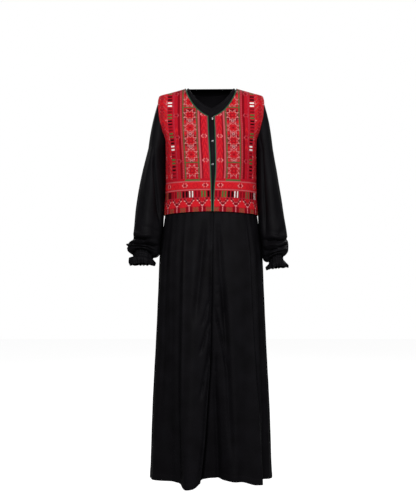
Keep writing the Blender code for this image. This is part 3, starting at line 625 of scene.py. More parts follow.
skirt = {
    "foldGrowth": 1.25,
    "gatherSpacing": 10.0,  # degrees between the gathers under the waist seam
    "gatherDepth": 0.0028,
    "gatherFade": 0.050,
    "fineGatherDepth": 0.0009,
    "fineGatherFade": 0.030,
    "hemDepth": 0.020,  # the turned-up hem
    "hemRise": 0.0006,
    "hemEdge": 0.0015,
    "rippleDepth": 0.0011,  # small waves along the hem
    "rippleReach": 0.07,
    "allowance": 2.0,  # degrees that the back reaches under the fronts at the side seams
    "allowanceDepth": 0.0018,
    "rowStep": 0.0052,
    "columnStep": 0.0046,
    # (waist angle, hem angle, width of each flank, drop where it starts, how far it stands out at the hem)
    "rightFolds": ((-36, -20, 9, 28, 0.46, 0.038), (-50, -40, 14, 11, 0.52, -0.018),
                   (-68, -62, 14, 13, 0.70, 0.010)),
    "leftFolds": ((-2, 2, 30, 24, 0.60, -0.046), (20, 20, 9, 9, 0.48, 0.008), (54, 45, 16, 7, 0.45, 0.032),
                  (61, 56, 7, 15, 0.45, -0.020)),
    "backFolds": ((112, 108, 14, 12, 0.60, -0.022), (128, 126, 13, 13, 0.52, 0.030),
                  (146, 147, 12, 12, 0.56, -0.024), (166, 168, 14, 13, 0.50, 0.030),
                  (184, 188, 12, 13, 0.60, -0.026), (202, 206, 13, 12, 0.52, 0.032),
                  (222, 225, 13, 13, 0.56, -0.022), (240, 244, 13, 14, 0.50, 0.024)),
    # (angle above, angle below, drop above, drop below, width in degrees, height, wander in degrees)
    "creases": (
        (-31.0, -25.0, 0.42, 1.50, 1.3, 0.0036, 0.2),
        (-35.0, -30.5, 0.44, 1.50, 3.4, -0.0095, 0.3),
        (43.8, 44.6, 0.42, 1.50, 1.0, 0.0040, 0.2),
        (46.8, 47.8, 0.42, 1.50, 2.2, -0.0080, 0.3),
        (-7.0, -17.0, 0.46, 0.86, 3.2, -0.0115, 0.3),
        (7.5, 14.5, 0.46, 0.88, 2.8, -0.0085, 0.3),
        (12.0, 20.5, 0.64, 1.36, 2.5, -0.0115, 0.4),
        (3.5, 8.5, 0.96, 1.52, 2.4, -0.0095, 0.4),
        (-2.0, -9.5, 0.745, 0.850, 1.3, -0.0050, 0.1),
        (-1.0, -11.5, 0.810, 0.950, 1.5, -0.0080, 0.1),
        (-1.2, -10.5, 0.900, 1.110, 1.5, -0.0078, 0.3),
        (3.5, 16.5, 0.765, 1.010, 1.4, -0.0078, 0.5),
        (5.0, 4.6, 0.930, 1.020, 1.0, -0.0040, 0.1),
        (-20, -17, 0.40, 1.46, 5.0, 0.0040, 0.4),
        (31, 32, 0.44, 1.46, 9.0, 0.0030, 0.6),
        (-48, -46, 0.455, 1.05, 2.6, 0.0026, 0.5),
        (-54, -56, 0.47, 1.30, 2.8, -0.0036, 0.8),
        (-64, -68, 0.455, 0.95, 2.4, 0.0024, 0.6),
        (-74, -76, 0.60, 1.41, 3.6, -0.0032, 0.8),
        (66, 68, 0.47, 1.20, 2.6, 0.0026, 0.6),
        (74, 75, 0.52, 1.41, 3.0, -0.0030, 0.8),
        (104, 100, 0.46, 1.10, 3.0, 0.0026, 0.7),
        (120, 116, 0.47, 1.35, 2.8, -0.0036, 0.6),
        (137, 138, 0.455, 1.00, 2.6, 0.0028, 0.6),
        (156, 158, 0.46, 1.30, 2.8, -0.0038, 0.6),
        (175, 177, 0.455, 1.15, 2.6, 0.0028, 0.6),
        (193, 196, 0.47, 1.35, 2.8, -0.0038, 0.6),
        (212, 215, 0.455, 1.05, 2.6, 0.0028, 0.6),
        (231, 235, 0.46, 1.30, 2.8, -0.0036, 0.7),
        (252, 258, 0.455, 1.20, 3.0, 0.0026, 0.7),
    ),
    # puckers where the front is caught down beside its edge: (x, drop, radius, depth), wider than tall
    "dimpleSquash": 0.8,
    "dimples": ((0.023, 0.701, 0.007, 0.0016), (0.022, 0.732, 0.006, 0.0014), (0.022, 0.778, 0.007, 0.0018),
                (0.021, 0.829, 0.008, 0.0016), (0.026, 0.500, 0.009, 0.0010)),
    # where the sewn-up front lets go
    "curl": {"drop": 0.578, "reach": 0.020, "height": 0.0032, "width": 0.012},
    # the valley that the front's edge falls into below the seat of the seam
    "valley": {"start": 0.58, "full": 0.74, "above": 0.40, "beside": -0.0020, "width": 0.0058,
               "depth": 0.0120},
}
hemLine = {
    "angle": (-90, -60, -31, -21, -15, -7, 6, 13, 29, 40, 48, 62, 90, 180, 270),
    "drop": (1.396, 1.388, 1.387, 1.400, 1.396, 1.376, 1.374, 1.379, 1.383, 1.393, 1.393, 1.389, 1.396,
             1.400, 1.396),
}
hemDrop = curvesOf(hemLine)["drop"]


def foldHeight(folds, angle, drop):
    total = np.zeros(np.broadcast(angle, drop).shape)
    waist, length = garment["waistDrop"], garment["length"]
    for waistAngle, hemAngle, flankLow, flankHigh, start, depth in folds:
        grown = np.clip((drop - start) / (length - start), 0, None) ** skirt["foldGrowth"]
        off = angle - mix(waistAngle, hemAngle, (drop - waist) / (length - waist))
        off = off / np.where(off < 0, flankLow, flankHigh)
        total += depth * grown * np.cos(math.pi / 2 * np.clip(off, -1, 1)) ** 2
    return total


def hemAt(angle):
    return hemDrop((angle + 90) % 360 - 90)


def skirtDetail(point, angle, drop):
    # What all the skirt panels share: creases, gathers, puckers and the hem.
    height = creaseHeight(skirt["creases"], angle, drop)
    uneven = 0.6 + 0.4 * np.sin(angle * 0.37 + 1.3) * np.sin(angle * 0.11)
    fine = 0.5 - 0.5 * np.cos(np.radians(angle) * 86 + 2 * np.sin(np.radians(angle) * 9))
    fade = np.exp(-(drop - garment["waistDrop"]) / skirt["fineGatherFade"])
    height -= skirt["fineGatherDepth"] * uneven * fine * fade
    front = point[..., 1] < 0
    for x, middle, radius, depth in skirt["dimples"]:
        away = ((point[..., 0] - x) / radius) ** 2 + ((drop - middle) / (radius * skirt["dimpleSquash"])) ** 2
        height -= depth * np.exp(-away) * front
    valley = skirt["valley"]
    grown = mix(valley["above"], 1.0, ease((drop - valley["start"]) / (valley["full"] - valley["start"])))
    fromEdge = (point[..., 0] - opening(drop) - valley["beside"]) / valley["width"]
    height -= valley["depth"] * grown * np.exp(-fromEdge ** 2) * front
    hem = hemAt(angle)
    height += skirt["hemRise"] * ease((drop - hem + skirt["hemDepth"]) / skirt["hemEdge"])
    grown = ease((drop - hem + skirt["rippleReach"]) / skirt["rippleReach"])
    ripple = np.sin(np.radians(angle) * 31 + 3 * np.sin(np.radians(angle) * 4)) * grown
    return height + skirt["rippleDepth"] * ripple + garment["unevenness"] * unevenness(point)


def skirtSurface(folds, laps):
    def surface(angle, drop):
        angle = np.asarray(angle, float)
        point = formPoint(angle, drop)
        outward = normalOf(formPoint, angle, drop)
        outward[..., 2] = 0
        outward /= np.linalg.norm(outward, axis=-1, keepdims=True)
        lap = np.where(point[..., 1] < 0, lapShare(point[..., 0], drop), 0.0)
        wave = 0.5 - 0.5 * np.cos(2 * math.pi * angle / skirt["gatherSpacing"])
        gathers = skirt["gatherDepth"] * wave * np.exp(-(drop - garment["waistDrop"]) / skirt["gatherFade"])
        height = foldHeight(folds, angle, drop) - gathers * (1 - lap) + skirtDetail(point, angle, drop)
        if laps:
            curl = skirt["curl"]
            fromEdge = (opening(drop) - point[..., 0]) / curl["width"]
            curled = np.exp(-((drop - curl["drop"]) / curl["reach"]) ** 2 - fromEdge ** 2)
            height = height + garment["lapRise"] * lap + curl["height"] * curled
        if folds is skirt["backFolds"]:
            # the seam allowance, which lies under the fronts
            height = height - skirt["allowanceDepth"] * ease((np.abs(angle - 180) - 89.9) / 0.5)
        return point + outward * height[..., None]

    return surface


def skirtParams(lowAngle, highAngle, rows, columns):
    top = garment["waistDrop"] + garment["seamGap"] / 2
    share = np.linspace(0, 1, rows)[:, None] * np.ones((1, columns))
    across = np.linspace(0, 1, columns)[None, :] * np.ones((rows, 1))
    drop = mix(top, garment["length"], share)
    for _ in range(4):  # the hem's drop follows the angle, and the angle the drop
        angle = mix(lowAngle(drop), highAngle(drop), across)
        drop = mix(top, hemAt(angle), share)
    return angle, drop


def addSkirt():
    allowance = skirt["allowance"]
    # name: (node, folds, whether it laps over, its two edges, its width for the number of columns)
    panels = {
        "skirtFrontRight": ("skirt_front_right", skirt["rightFolds"], True,
                            lambda drop: -seamAngle(drop, False),
                            lambda drop: angleAt(opening(drop), drop), 0.46),
        "skirtFrontLeft": ("skirt_front_left", skirt["leftFolds"], False,
                           lambda drop: angleAt(opening(drop) - garment["underlap"], drop),
                           lambda drop: seamAngle(drop, False), 0.50),
        "skirtBack": ("skirt_back", skirt["backFolds"], False, lambda drop: seamAngle(drop, True) - allowance,
                      lambda drop: 360 - seamAngle(drop, True) + allowance, 0.78),
    }
    rows = round((garment["length"] - garment["waistDrop"]) / skirt["rowStep"])
    for name, (node, folds, laps, low, high, width) in panels.items():
        angle, drop = skirtParams(low, high, rows, round(width / skirt["columnStep"]))
        points = skirtSurface(folds, laps)(angle, drop)
        addShell(name, node, points, clothUv(points), garment["crepe"], *crepeLook)


addSkirt()
print("stage 4: skirt")


# Each ring of a sleeve: how far along the arm (0 under the armhole, 1 the wrist seam), how far out its outer
# and inner walls lie, its front and back, and how low each side of it hangs. Near the wrist the cloth pouches
# over the elastic, so the rings sink to the seam's height and close in on it.
sleeveRings = {
    "left": {
        "along": (0.00, 0.16, 0.32, 0.48, 0.60, 0.70, 0.78, 0.86, 0.92, 0.97, 1.00),
        "outer": (0.2220, 0.2360, 0.2475, 0.2595, 0.2690, 0.2735, 0.2758, 0.2750, 0.2690, 0.2605, 0.2568),
        "inner": (0.1650, 0.1652, 0.1660, 0.1692, 0.1718, 0.1788, 0.1822, 0.1832, 0.1868, 0.1985, 0.2055),
        "front": (-0.060, -0.062, -0.067, -0.074, -0.082, -0.087, -0.090, -0.089, -0.084, -0.076, -0.073),
        "back": (0.070, 0.067, 0.059, 0.048, 0.037, 0.030, 0.024, 0.016, 0.006, -0.004, -0.006),
        "outerDrop": (0.215, 0.292, 0.370, 0.446, 0.504, 0.541, 0.564, 0.582, 0.594, 0.602, 0.604),
        "innerDrop": (0.215, 0.292, 0.370, 0.446, 0.506, 0.552, 0.582, 0.606, 0.618, 0.624, 0.623),
        "frontDrop": (0.215, 0.292, 0.370, 0.446, 0.505, 0.546, 0.570, 0.585, 0.594, 0.597, 0.592),
    },
    "right": {
        "along": (0.00, 0.16, 0.32, 0.48, 0.60, 0.70, 0.78, 0.86, 0.92, 0.97, 1.00),
        "outer": (0.2260, 0.2460, 0.2610, 0.2710, 0.2758, 0.2778, 0.2940, 0.3000, 0.2975, 0.2865, 0.2785),
        "inner": (0.1650, 0.1652, 0.1658, 0.1692, 0.1722, 0.1780, 0.1808, 0.1814, 0.1842, 0.1965, 0.2055),
        "front": (-0.060, -0.062, -0.067, -0.074, -0.082, -0.087, -0.092, -0.094, -0.090, -0.080, -0.075),
        "back": (0.070, 0.068, 0.061, 0.050, 0.040, 0.034, 0.030, 0.020, 0.010, -0.002, -0.005),
        "outerDrop": (0.215, 0.292, 0.370, 0.446, 0.502, 0.540, 0.554, 0.568, 0.582, 0.593, 0.598),
        "innerDrop": (0.215, 0.292, 0.370, 0.446, 0.502, 0.545, 0.567, 0.586, 0.599, 0.608, 0.609),
        "frontDrop": (0.215, 0.292, 0.370, 0.446, 0.502, 0.540, 0.556, 0.566, 0.573, 0.576, 0.571),
    },
}
# The same for the wrist: 0 the seam, 1 the foot of the elastic, 2 the edge of the frill, which springs out
# from the elastic and then drops.
wristRings = {
    "left": {
        "along": (0, 1, 1.35, 1.70, 2),
        "outer": (0.2568, 0.2570, 0.2655, 0.2765, 0.2745),
        "inner": (0.2055, 0.2050, 0.1990, 0.1935, 0.1975),
        "front": (-0.073, -0.074, -0.078, -0.083, -0.082),
        "back": (-0.006, -0.005, -0.002, 0.001, 0.000),
        "outerDrop": (0.604, 0.612, 0.622, 0.635, 0.643),
        "innerDrop": (0.623, 0.629, 0.635, 0.642, 0.652),
        "frontDrop": (0.592, 0.613, 0.619, 0.628, 0.637),
    },
    "right": {
        "along": (0, 1, 1.30, 1.70, 2),
        "outer": (0.2785, 0.2778, 0.2925, 0.2940, 0.2880),
        "inner": (0.2055, 0.2060, 0.2005, 0.1960, 0.2015),
        "front": (-0.075, -0.076, -0.083, -0.086, -0.084),
        "back": (-0.005, -0.005, -0.001, 0.001, -0.001),
        "outerDrop": (0.598, 0.602, 0.607, 0.622, 0.636),
        "innerDrop": (0.609, 0.613, 0.619, 0.627, 0.637),
        "frontDrop": (0.571, 0.599, 0.604, 0.615, 0.626),
    },
}
sleeve = {
    # soft folds down the arm: (turn above, turn below, width, its start and its end, how far it stands out)
    "folds": ((112, 128, 34, 0.0, 0.90, -0.0060), (76, 84, 40, 0.07, 0.85, 0.0045),
              (30, 12, 36, 0.03, 0.60, -0.0040), (270, 282, 40, 0.10, 0.85, 0.0045)),
    # the cloth that lies against the body, behind the arm
    "hug": {"above": 203, "below": 216, "width": 26, "reach": 0.0050, "end": 0.90, "fade": 0.15},
    "gathered": {"start": 0.86, "length": 0.14},
    "capBulge": 0.005,
    # turn 0 is the outside of the arm, 90 its front and 180 the side against the body
    "creases": {
        "left": (
            (120, 132, 0.14, 0.56, 7.0, -0.0080, 1.5),
            (100, 108, 0.18, 0.56, 11.0, 0.0026, 1.2),
            (52, 66, 0.22, 0.50, 12.0, -0.0022, 2.0),
            (24, 40, 0.28, 0.54, 12.0, 0.0020, 2.5),
            (330, 350, 0.16, 0.48, 14.0, 0.0024, 3.0),
            (296, 314, 0.20, 0.52, 13.0, -0.0030, 3.0),
            (240, 252, 0.20, 0.52, 12.0, -0.0026, 2.0),
        ),
        "right": (
            (74, 153, 0.205, 0.505, 6.5, -0.0110, 1.0),
            (66, 120, 0.20, 0.50, 12.0, 0.0030, 1.2),
            (40, 58, 0.16, 0.52, 14.0, -0.0016, 2.0),
            (28, 36, 0.24, 0.54, 12.0, 0.0018, 2.5),
            (330, 346, 0.18, 0.50, 14.0, 0.0024, 3.0),
            (296, 310, 0.20, 0.52, 13.0, -0.0030, 3.0),
            (240, 252, 0.20, 0.52, 12.0, -0.0026, 2.0),
        ),
    },
    # wrinkles across the arm above the elastic: (along, turn, half its length in turns, width, height, slant)
    "wrinkles": {
        "left": ((0.700, 92, 52, 0.013, -0.0120, -0.012), (0.660, 90, 56, 0.018, 0.0040, -0.010),
                 (0.745, 108, 42, 0.018, 0.0085, -0.010), (0.775, 52, 30, 0.013, -0.0100, 0.014),
                 (0.800, 118, 36, 0.013, -0.0100, -0.016), (0.850, 124, 32, 0.015, 0.0070, -0.012),
                 (0.835, 66, 34, 0.015, 0.0060, 0.010), (0.890, 92, 44, 0.012, -0.0070, 0.008),
                 (0.620, 56, 40, 0.020, -0.0030, 0.030), (0.700, 20, 30, 0.014, -0.0060, 0.006)),
        "right": ((0.700, 62, 46, 0.014, -0.0150, 0.008), (0.655, 66, 56, 0.018, 0.0044, 0.012),
                  (0.750, 86, 56, 0.017, 0.0090, -0.006), (0.795, 40, 34, 0.013, -0.0110, 0.010),
                  (0.800, 108, 36, 0.013, -0.0100, -0.010), (0.840, 66, 46, 0.015, 0.0075, 0.004),
                  (0.885, 98, 42, 0.012, -0.0075, -0.008), (0.610, 112, 40, 0.020, -0.0030, 0.024),
                  (0.820, 10, 26, 0.014, 0.0050, 0.006), (0.860, 20, 30, 0.012, -0.0060, 0.004)),
    },
    "backWrinkles": ((0.710, 255, 60, 0.016, 0.0060, 0.010), (0.750, 285, 55, 0.014, -0.0080, -0.008),
                     (0.800, 240, 56, 0.016, 0.0060, 0.006), (0.840, 262, 60, 0.014, -0.0070, 0.006)),
    "capRows": 34,
    "rows": 136,
    "columns": 128,
    "tuck": 0.0024,  # how far the cap reaches under the bodice at the seam
    "tuckBelow": 1.4,  # and how deep below the bodice's face, in thicknesses of the crepe
}
wrist = {
    "gathers": 15,
    "gatherDepth": 0.0022,
    "fineDepth": 0.0005,
    "elasticRows": 3,
    "elasticDepth": 0.0007,
    "frillWaveDepth": 0.0052,
    "frillFineDepth": 0.0012,
    "frillLift": 0.0026,
    "frillEdge": 0.0006,
    "frillThickness": 0.8,  # of the sleeve's
    "tuck": 0.0018,
    "tuckRise": 0.0012,  # how far each piece reaches up inside the one above it
    "cuffRows": 19,
    "frillRows": 17,
    "columns": 224,
}


def armholeFolded(turn, step=0):
    # (angle, drop) on the armhole for a turn round the arm, whose back half runs up again
    turn = np.asarray(turn, float) % 360
    back = turn > 180
    folded = np.clip(np.where(back, 360 - turn, turn) + step, 0, 180)
    frontAngle, drop = armholeAt(folded, False)
    backAngle, _ = armholeAt(folded, True)
    return np.where(back, backAngle, frontAngle), drop


def armholeStart(turn):
    # Where the sleeve is sewn in, and the way into the hole, on the wearer's left.
    turn = np.asarray(turn, float) % 360
    angle, drop = armholeFolded(turn)
    here = bodiceUnder(angle, drop)
    along = bodiceUnder(*armholeFolded(turn, 1)) - bodiceUnder(*armholeFolded(turn, -1))
    inward = np.cross(normalOf(formPoint, angle, drop), along)
    inward /= np.linalg.norm(inward, axis=-1, keepdims=True)
    middle = formPoint(90, (garment["underarmDrop"] + garment["shoulderDrop"]) / 2)
    facing = np.sign(np.sum(inward * (middle - here), -1, keepdims=True))
    return here, inward * facing


def ringPoint(walls, sign, turn, along, growth=0.0):
    cosine, sine = np.cos(np.radians(turn)), np.sin(np.radians(turn))
    middleX = (walls["outer"](along) + walls["inner"](along)) / 2
    middleY = (walls["front"](along) + walls["back"](along)) / 2
    halfX = (walls["outer"](along) - walls["inner"](along)) / 2 + growth
    halfY = (walls["back"](along) - walls["front"](along)) / 2 + growth
    middleDrop = (walls["outerDrop"](along) + walls["innerDrop"](along)) / 2
    tilt = (walls["innerDrop"](along) - walls["outerDrop"](along)) / 2
    drop = middleDrop - tilt * cosine + (walls["frontDrop"](along) - middleDrop) * np.maximum(sine, 0) ** 2
    return np.stack([sign * (middleX + halfX * cosine), middleY - halfY * sine, -drop], -1)


def gatherShape(turn, bend=0.0):
    uneven = 0.9 * np.sin(np.radians(turn * 4))
    return 0.5 - 0.5 * np.cos(np.radians((turn + bend) * wrist["gathers"]) + uneven)


def gatherWave(turn, amount):
    fine = np.sin(np.radians(turn * 41) + 2 * np.sin(np.radians(turn * 3)))
    return amount * (wrist["gatherDepth"] * gatherShape(turn) + wrist["fineDepth"] * fine)


def raised(point, rise):
    return point + np.stack([0 * rise, 0 * rise, rise], -1)


def sleeveSurfaces(side):
    sign = 1 if side == "left" else -1
    walls, ends = curvesOf(sleeveRings[side]), curvesOf(wristRings[side])

    def foldGrowth(turn, along):
        total = np.zeros(np.broadcast(turn, along).shape)
        for topTurn, bottomTurn, width, start, end, depth in sleeve["folds"]:
            share = np.clip((along - start) / (end - start), 0, 1)
            off = np.clip((turn % 360 - mix(topTurn, bottomTurn, share)) / width, -1, 1)
            total += depth * np.sin(math.pi * share) * np.cos(math.pi / 2 * off) ** 2
        hug = sleeve["hug"]
        off = np.clip((turn % 360 - mix(hug["above"], hug["below"], along)) / hug["width"], -1, 1)
        held = ease((hug["end"] - along) / hug["fade"])
        return total + hug["reach"] * held * np.cos(math.pi / 2 * off) ** 2

    def sleeveSkin(turn, run):
        # run goes from -1 at the armhole through 0 under it to 1 at the wrist seam
        start, inward = armholeStart(turn)
        start = (start + inward * garment["seamGap"]) * (sign, 1, 1)
        share = np.clip(run + 1, 0, 1)
        along = np.clip(run, 0, 1)
        swell = sleeve["capBulge"] * np.sin(math.pi * share) * np.maximum(np.cos(np.radians(turn)), 0)
        foot = ringPoint(walls, sign, turn, 0 * along, foldGrowth(turn, 0 * along))
        cap = mix(start, foot, share[..., None])
        cap = cap + np.stack([sign * swell, 0 * swell, swell / 2], -1)
        arm = ringPoint(walls, sign, turn, along, foldGrowth(turn, along))
        plain = np.where((run < 0)[..., None], cap, arm)
        outward = gridNormals(plain, True) * -sign
        height = creaseHeight(sleeve["creases"][side], turn, -plain[..., 2]) * ease(share * 3)
        wrinkles = sleeve["wrinkles"][side] + sleeve["backWrinkles"]
        for middle, centre, halfLength, width, size, slant in wrinkles:
            off = ((turn - centre + 180) % 360 - 180) / halfLength
            line = along - middle - slant * off - 0.004 * np.sin(turn * 0.11)
            height = height + size * np.exp(-(line / width) ** 2) * np.exp(-(off ** 4))
        gathered = ease((along - sleeve["gathered"]["start"]) / sleeve["gathered"]["length"])
        height = height * (1 - gathered) - gatherWave(turn, gathered)
        height = height + garment["unevenness"] * unevenness(plain) * ease(share * 3) * (1 - gathered)
        return plain + outward * height[..., None]

    def cuffSkin(turn, run):
        rib = wrist["elasticDepth"] * np.cos(2 * math.pi * np.clip(run, 0, 1) * wrist["elasticRows"])
        tucked = np.where(run < 0, -wrist["tuck"], 0.0)
        point = ringPoint(ends, sign, turn, np.clip(run, 0, 1), tucked + rib - gatherWave(turn, 1.0))
        return raised(point, np.where(run < 0, wrist["tuckRise"], -garment["seamGap"]))

    def frillSkin(turn, run):
        spread = np.clip(run, 0, 1)
        slow = 1 + 0.30 * np.sin(np.radians(turn * 3) + 1.1) + 0.15 * np.sin(np.radians(turn * 5))
        wave = gatherShape(turn, 5 * np.sin(np.radians(turn * 4)) * spread)
        growth = -wrist["frillWaveDepth"] * slow * spread * wave - gatherWave(turn, 1 - spread)
        fine = spread * np.sin(np.radians(turn * 29)) * ease((spread - 0.3) / 0.7)
        growth = growth + wrist["frillFineDepth"] * fine
        growth = growth + np.where(run < 0, -wrist["tuck"], 0.0) + wrist["frillEdge"] * (spread > 0.9)
        point = ringPoint(ends, sign, turn, 1 + spread, growth)
        rise = np.where(run < 0, wrist["tuckRise"], -2 * garment["seamGap"])
        return raised(point, rise + wrist["frillLift"] * slow * wave * spread)

    return sleeveSkin, cuffSkin, frillSkin


def capAllowance(turn, side):
    # the cap's seam allowance, which lies under the bodice, so that no light comes through the seam
    sideways = (1 if side == "left" else -1, 1, 1)
    inward = armholeStart(turn)[1] * sideways
    under = bodiceUnder(*armholeFolded(turn)) * sideways
    outward = normalOf(formPoint, *armholeFolded(turn)) * sideways
    return under - inward * sleeve["tuck"] - outward * garment["crepe"] * sleeve["tuckBelow"]


def addSleeves():
    crepeDepth, capRows = garment["crepe"], sleeve["capRows"]
    armRuns = np.append(np.linspace(-1, 0, capRows)[:-1], np.linspace(0, 1, sleeve["rows"] - capRows + 1))
    cuffRuns = np.append(-1.0, np.linspace(0, 1, wrist["cuffRows"]))
    frillRuns = np.append(-1.0, np.linspace(0, 1, wrist["frillRows"]))
    for side in ("left", "right"):
        sleeveSkin, cuffSkin, frillSkin = sleeveSurfaces(side)
        pieces = (
            ("sleeve", "sleeve_", sleeveSkin, armRuns, sleeve["columns"], crepeDepth),
            ("cuff", "cuff_", cuffSkin, cuffRuns, wrist["columns"], crepeDepth),
            ("frill", "cuff_frill_", frillSkin, frillRuns, wrist["columns"],
             crepeDepth * wrist["frillThickness"]),
        )
        for title, node, skin, runs, columns, thickness in pieces:
            turn = np.linspace(0, 360, columns + 1)[None, :-1] * np.ones((len(runs), 1))
            points = skin(turn, runs[:, None] * np.ones((1, columns)))
            if title == "sleeve":
                points = np.concatenate([capAllowance(turn[0], side)[None], points])
            uv = clothUv(np.concatenate([points, points[:, :1]], 1))
            addShell(title + side.capitalize(), node + side, points, uv, thickness, *crepeLook, wrap=True,
                     flip=side == "left")


addSleeves()
print("stage 5: sleeves")


vest = {
    "neckHalfWidth": 0.090,
    "neckDrop": 0.1104,
    "backNeckDrop": 0.027,
    "hemFront": 0.445,
    "hemSide": 0.457,
    "hemSlantReach": 0.16,  # how far above the front's hem its rows still slant down to the side
    "face": 0.0034,  # height of its face above the crepe
    "thickness": 0.0022,
    "hemLift": 0.0012,
    "hemLiftAbove": 0.04,
    "hemLiftOver": 0.05,
    "armEase": 0.018,
    "seamDrop": 0.100,  # above this the straight grain runs over the shoulder
    "shoulderReach": 0.1895,  # no column runs further out than this over the shoulder
    "edges": {
        "drop": (0.100, 0.190, 0.285, 0.390, 0.460),
        "left": (0.0092, 0.0129, 0.0144, 0.0080, 0.0058),
        "right": (-0.0105, -0.0070, -0.0014, 0.0018, 0.0034),
    },
    "trim": 0.002,  # the front's own edge lies this far inside its binding
}
vestEdge = curvesOf(vest["edges"])
vestCuts = panelCuts(vest["neckDrop"], vest["backNeckDrop"], vest["neckHalfWidth"], vest["armEase"],
                     vestEdge["left"], lambda drop: -vestEdge["right"](drop))


def vestSurface(angle, drop):
    point = formPoint(angle, drop)
    rise = vest["hemLift"] * ease((drop - garment["waistDrop"] + vest["hemLiftAbove"]) / vest["hemLiftOver"])
    rise = rise + np.where(point[..., 1] < 0, garment["lapRise"] * lapShare(point[..., 0], drop), 0.0)
    return movedOut(angle, drop, vest["face"] + rise)


def stitchMap(cut):
    # The straight grain of a panel: s across from its centre edge, t up from its hem, both along the cloth.
    # Gives the way from (s, t) to (angle, drop), read from a fine table, and the way back.
    back = cut["back"]
    depth, otherDepth = (form["back"], form["front"]) if back else (form["front"], form["back"])
    seamDrop = vest["seamDrop"]
    drops = np.linspace(vest["hemSide"] if back else vest["hemFront"], seamDrop, 260)
    slope = np.gradient(depth(drops), drops)
    slant = np.sqrt(1 + ((slope[1:] + slope[:-1]) / 2) ** 2)
    heights = np.concatenate([[0], np.cumsum(slant * -np.diff(drops))])
    step = thread["stitch"] / 2
    sAxis, tAxis = np.arange(-2, 250) * step, np.arange(0, 540) * step
    edgeX = (lambda drop: 0.0 * drop) if back else cut["centreX"]
    turns = np.linspace(-5, 95, 700)

    def ringArc(drop):
        # how far along the ring each turn lies from the panel's centre edge
        arc = runLength(formPoint(180 - turns if back else turns, drop))
        return arc - np.interp(angleAt(edgeX(np.array(drop)), drop), turns, arc)

    angleTable = np.zeros((len(tAxis), len(sAxis)))
    dropTable = np.zeros_like(angleTable)
    seamRow = int(np.searchsorted(tAxis, heights[-1], side="right"))
    for row, t in enumerate(tAxis[:seamRow]):
        drop = float(np.interp(t, heights, drops))
        angle = np.interp(sAxis, ringArc(drop), turns)
        shift = 0.0 if back else (vest["hemSide"] - vest["hemFront"]) * np.sin(np.radians(angle)) ** 2
        angleTable[row] = angle
        dropTable[row] = drop + shift * (1 - ease(t / vest["hemSlantReach"]))
    # above: columns go on at one x, up and over the shoulder seam
    seamArc, seamX = ringArc(seamDrop), formPoint(turns, seamDrop)[:, 0]
    crestDrops = np.linspace(-0.012, 0.06, 500)
    climb = np.linspace(-1, 0.6, 160)  # 0 is the crest of the shoulder
    above = tAxis[seamRow:] - heights[-1]
    columnRuns = []
    for column, x in enumerate(np.interp(sAxis, seamArc, seamX)):
        x = min(x, vest["shoulderReach"])
        crest = float(np.interp(x, form["halfWidth"](crestDrops), crestDrops))
        drop = crest + (seamDrop - crest) * climb ** 2
        share, power = np.clip(x / form["halfWidth"](drop), 0, 1), form["square"](drop)
        y = (1 - share ** power) ** (1 / power) * np.where(climb < 0, depth(drop), -otherDepth(drop))
        run = np.concatenate([[0], np.cumsum(np.hypot(np.diff(drop), np.diff(y)))])
        columnRuns.append((drop, run))
        dropHere, yHere = np.interp(above, run, drop), np.interp(above, run, y)
        own = np.where(yHere > 0, depth(dropHere), otherDepth(dropHere))
        dropTable[seamRow:, column] = dropHere
        angleTable[seamRow:, column] = np.degrees(np.arctan2(x / form["halfWidth"](dropHere), yHere / own))
    if back:
        angleTable = 180 - angleTable

    def place(s, t):
        # (angle, drop) for any (s, t), read between the table's points
        column = np.clip((s - sAxis[0]) / step, 0, len(sAxis) - 1.001)
        row = np.clip(t / step, 0, len(tAxis) - 1.001)
        i, j = row.astype(int), column.astype(int)
        result = []
        for table in (angleTable, dropTable):
            low = mix(table[i, j], table[i, j + 1], column - j)
            high = mix(table[i + 1, j], table[i + 1, j + 1], column - j)
            result.append(mix(low, high, row - i))
        return result

    def reverse(angle, drop):
        # (s, t) for a few points given as (angle, drop) on this panel
        found = []
        front = turns < 90
        toCrest = slice(0, int(np.searchsorted(climb, 0.0)) + 1)
        for a, d in zip(np.atleast_1d(angle), np.atleast_1d(drop)):
            if d >= seamDrop:
                s = float(np.interp(180 - a if back else a, turns, ringArc(float(d))))
                found.append((s, float(np.interp(-d, -drops, heights))))
            else:
                s = float(np.interp(formPoint(a, d)[0], seamX[front], seamArc[front]))
                column = int(np.clip(round((s - sAxis[0]) / step), 0, len(sAxis) - 1))
                climbed, run = columnRuns[column]
                found.append((s, heights[-1] + float(np.interp(-d, -climbed[toCrest], run[toCrest]))))
        return np.array(found)

    return place, reverse


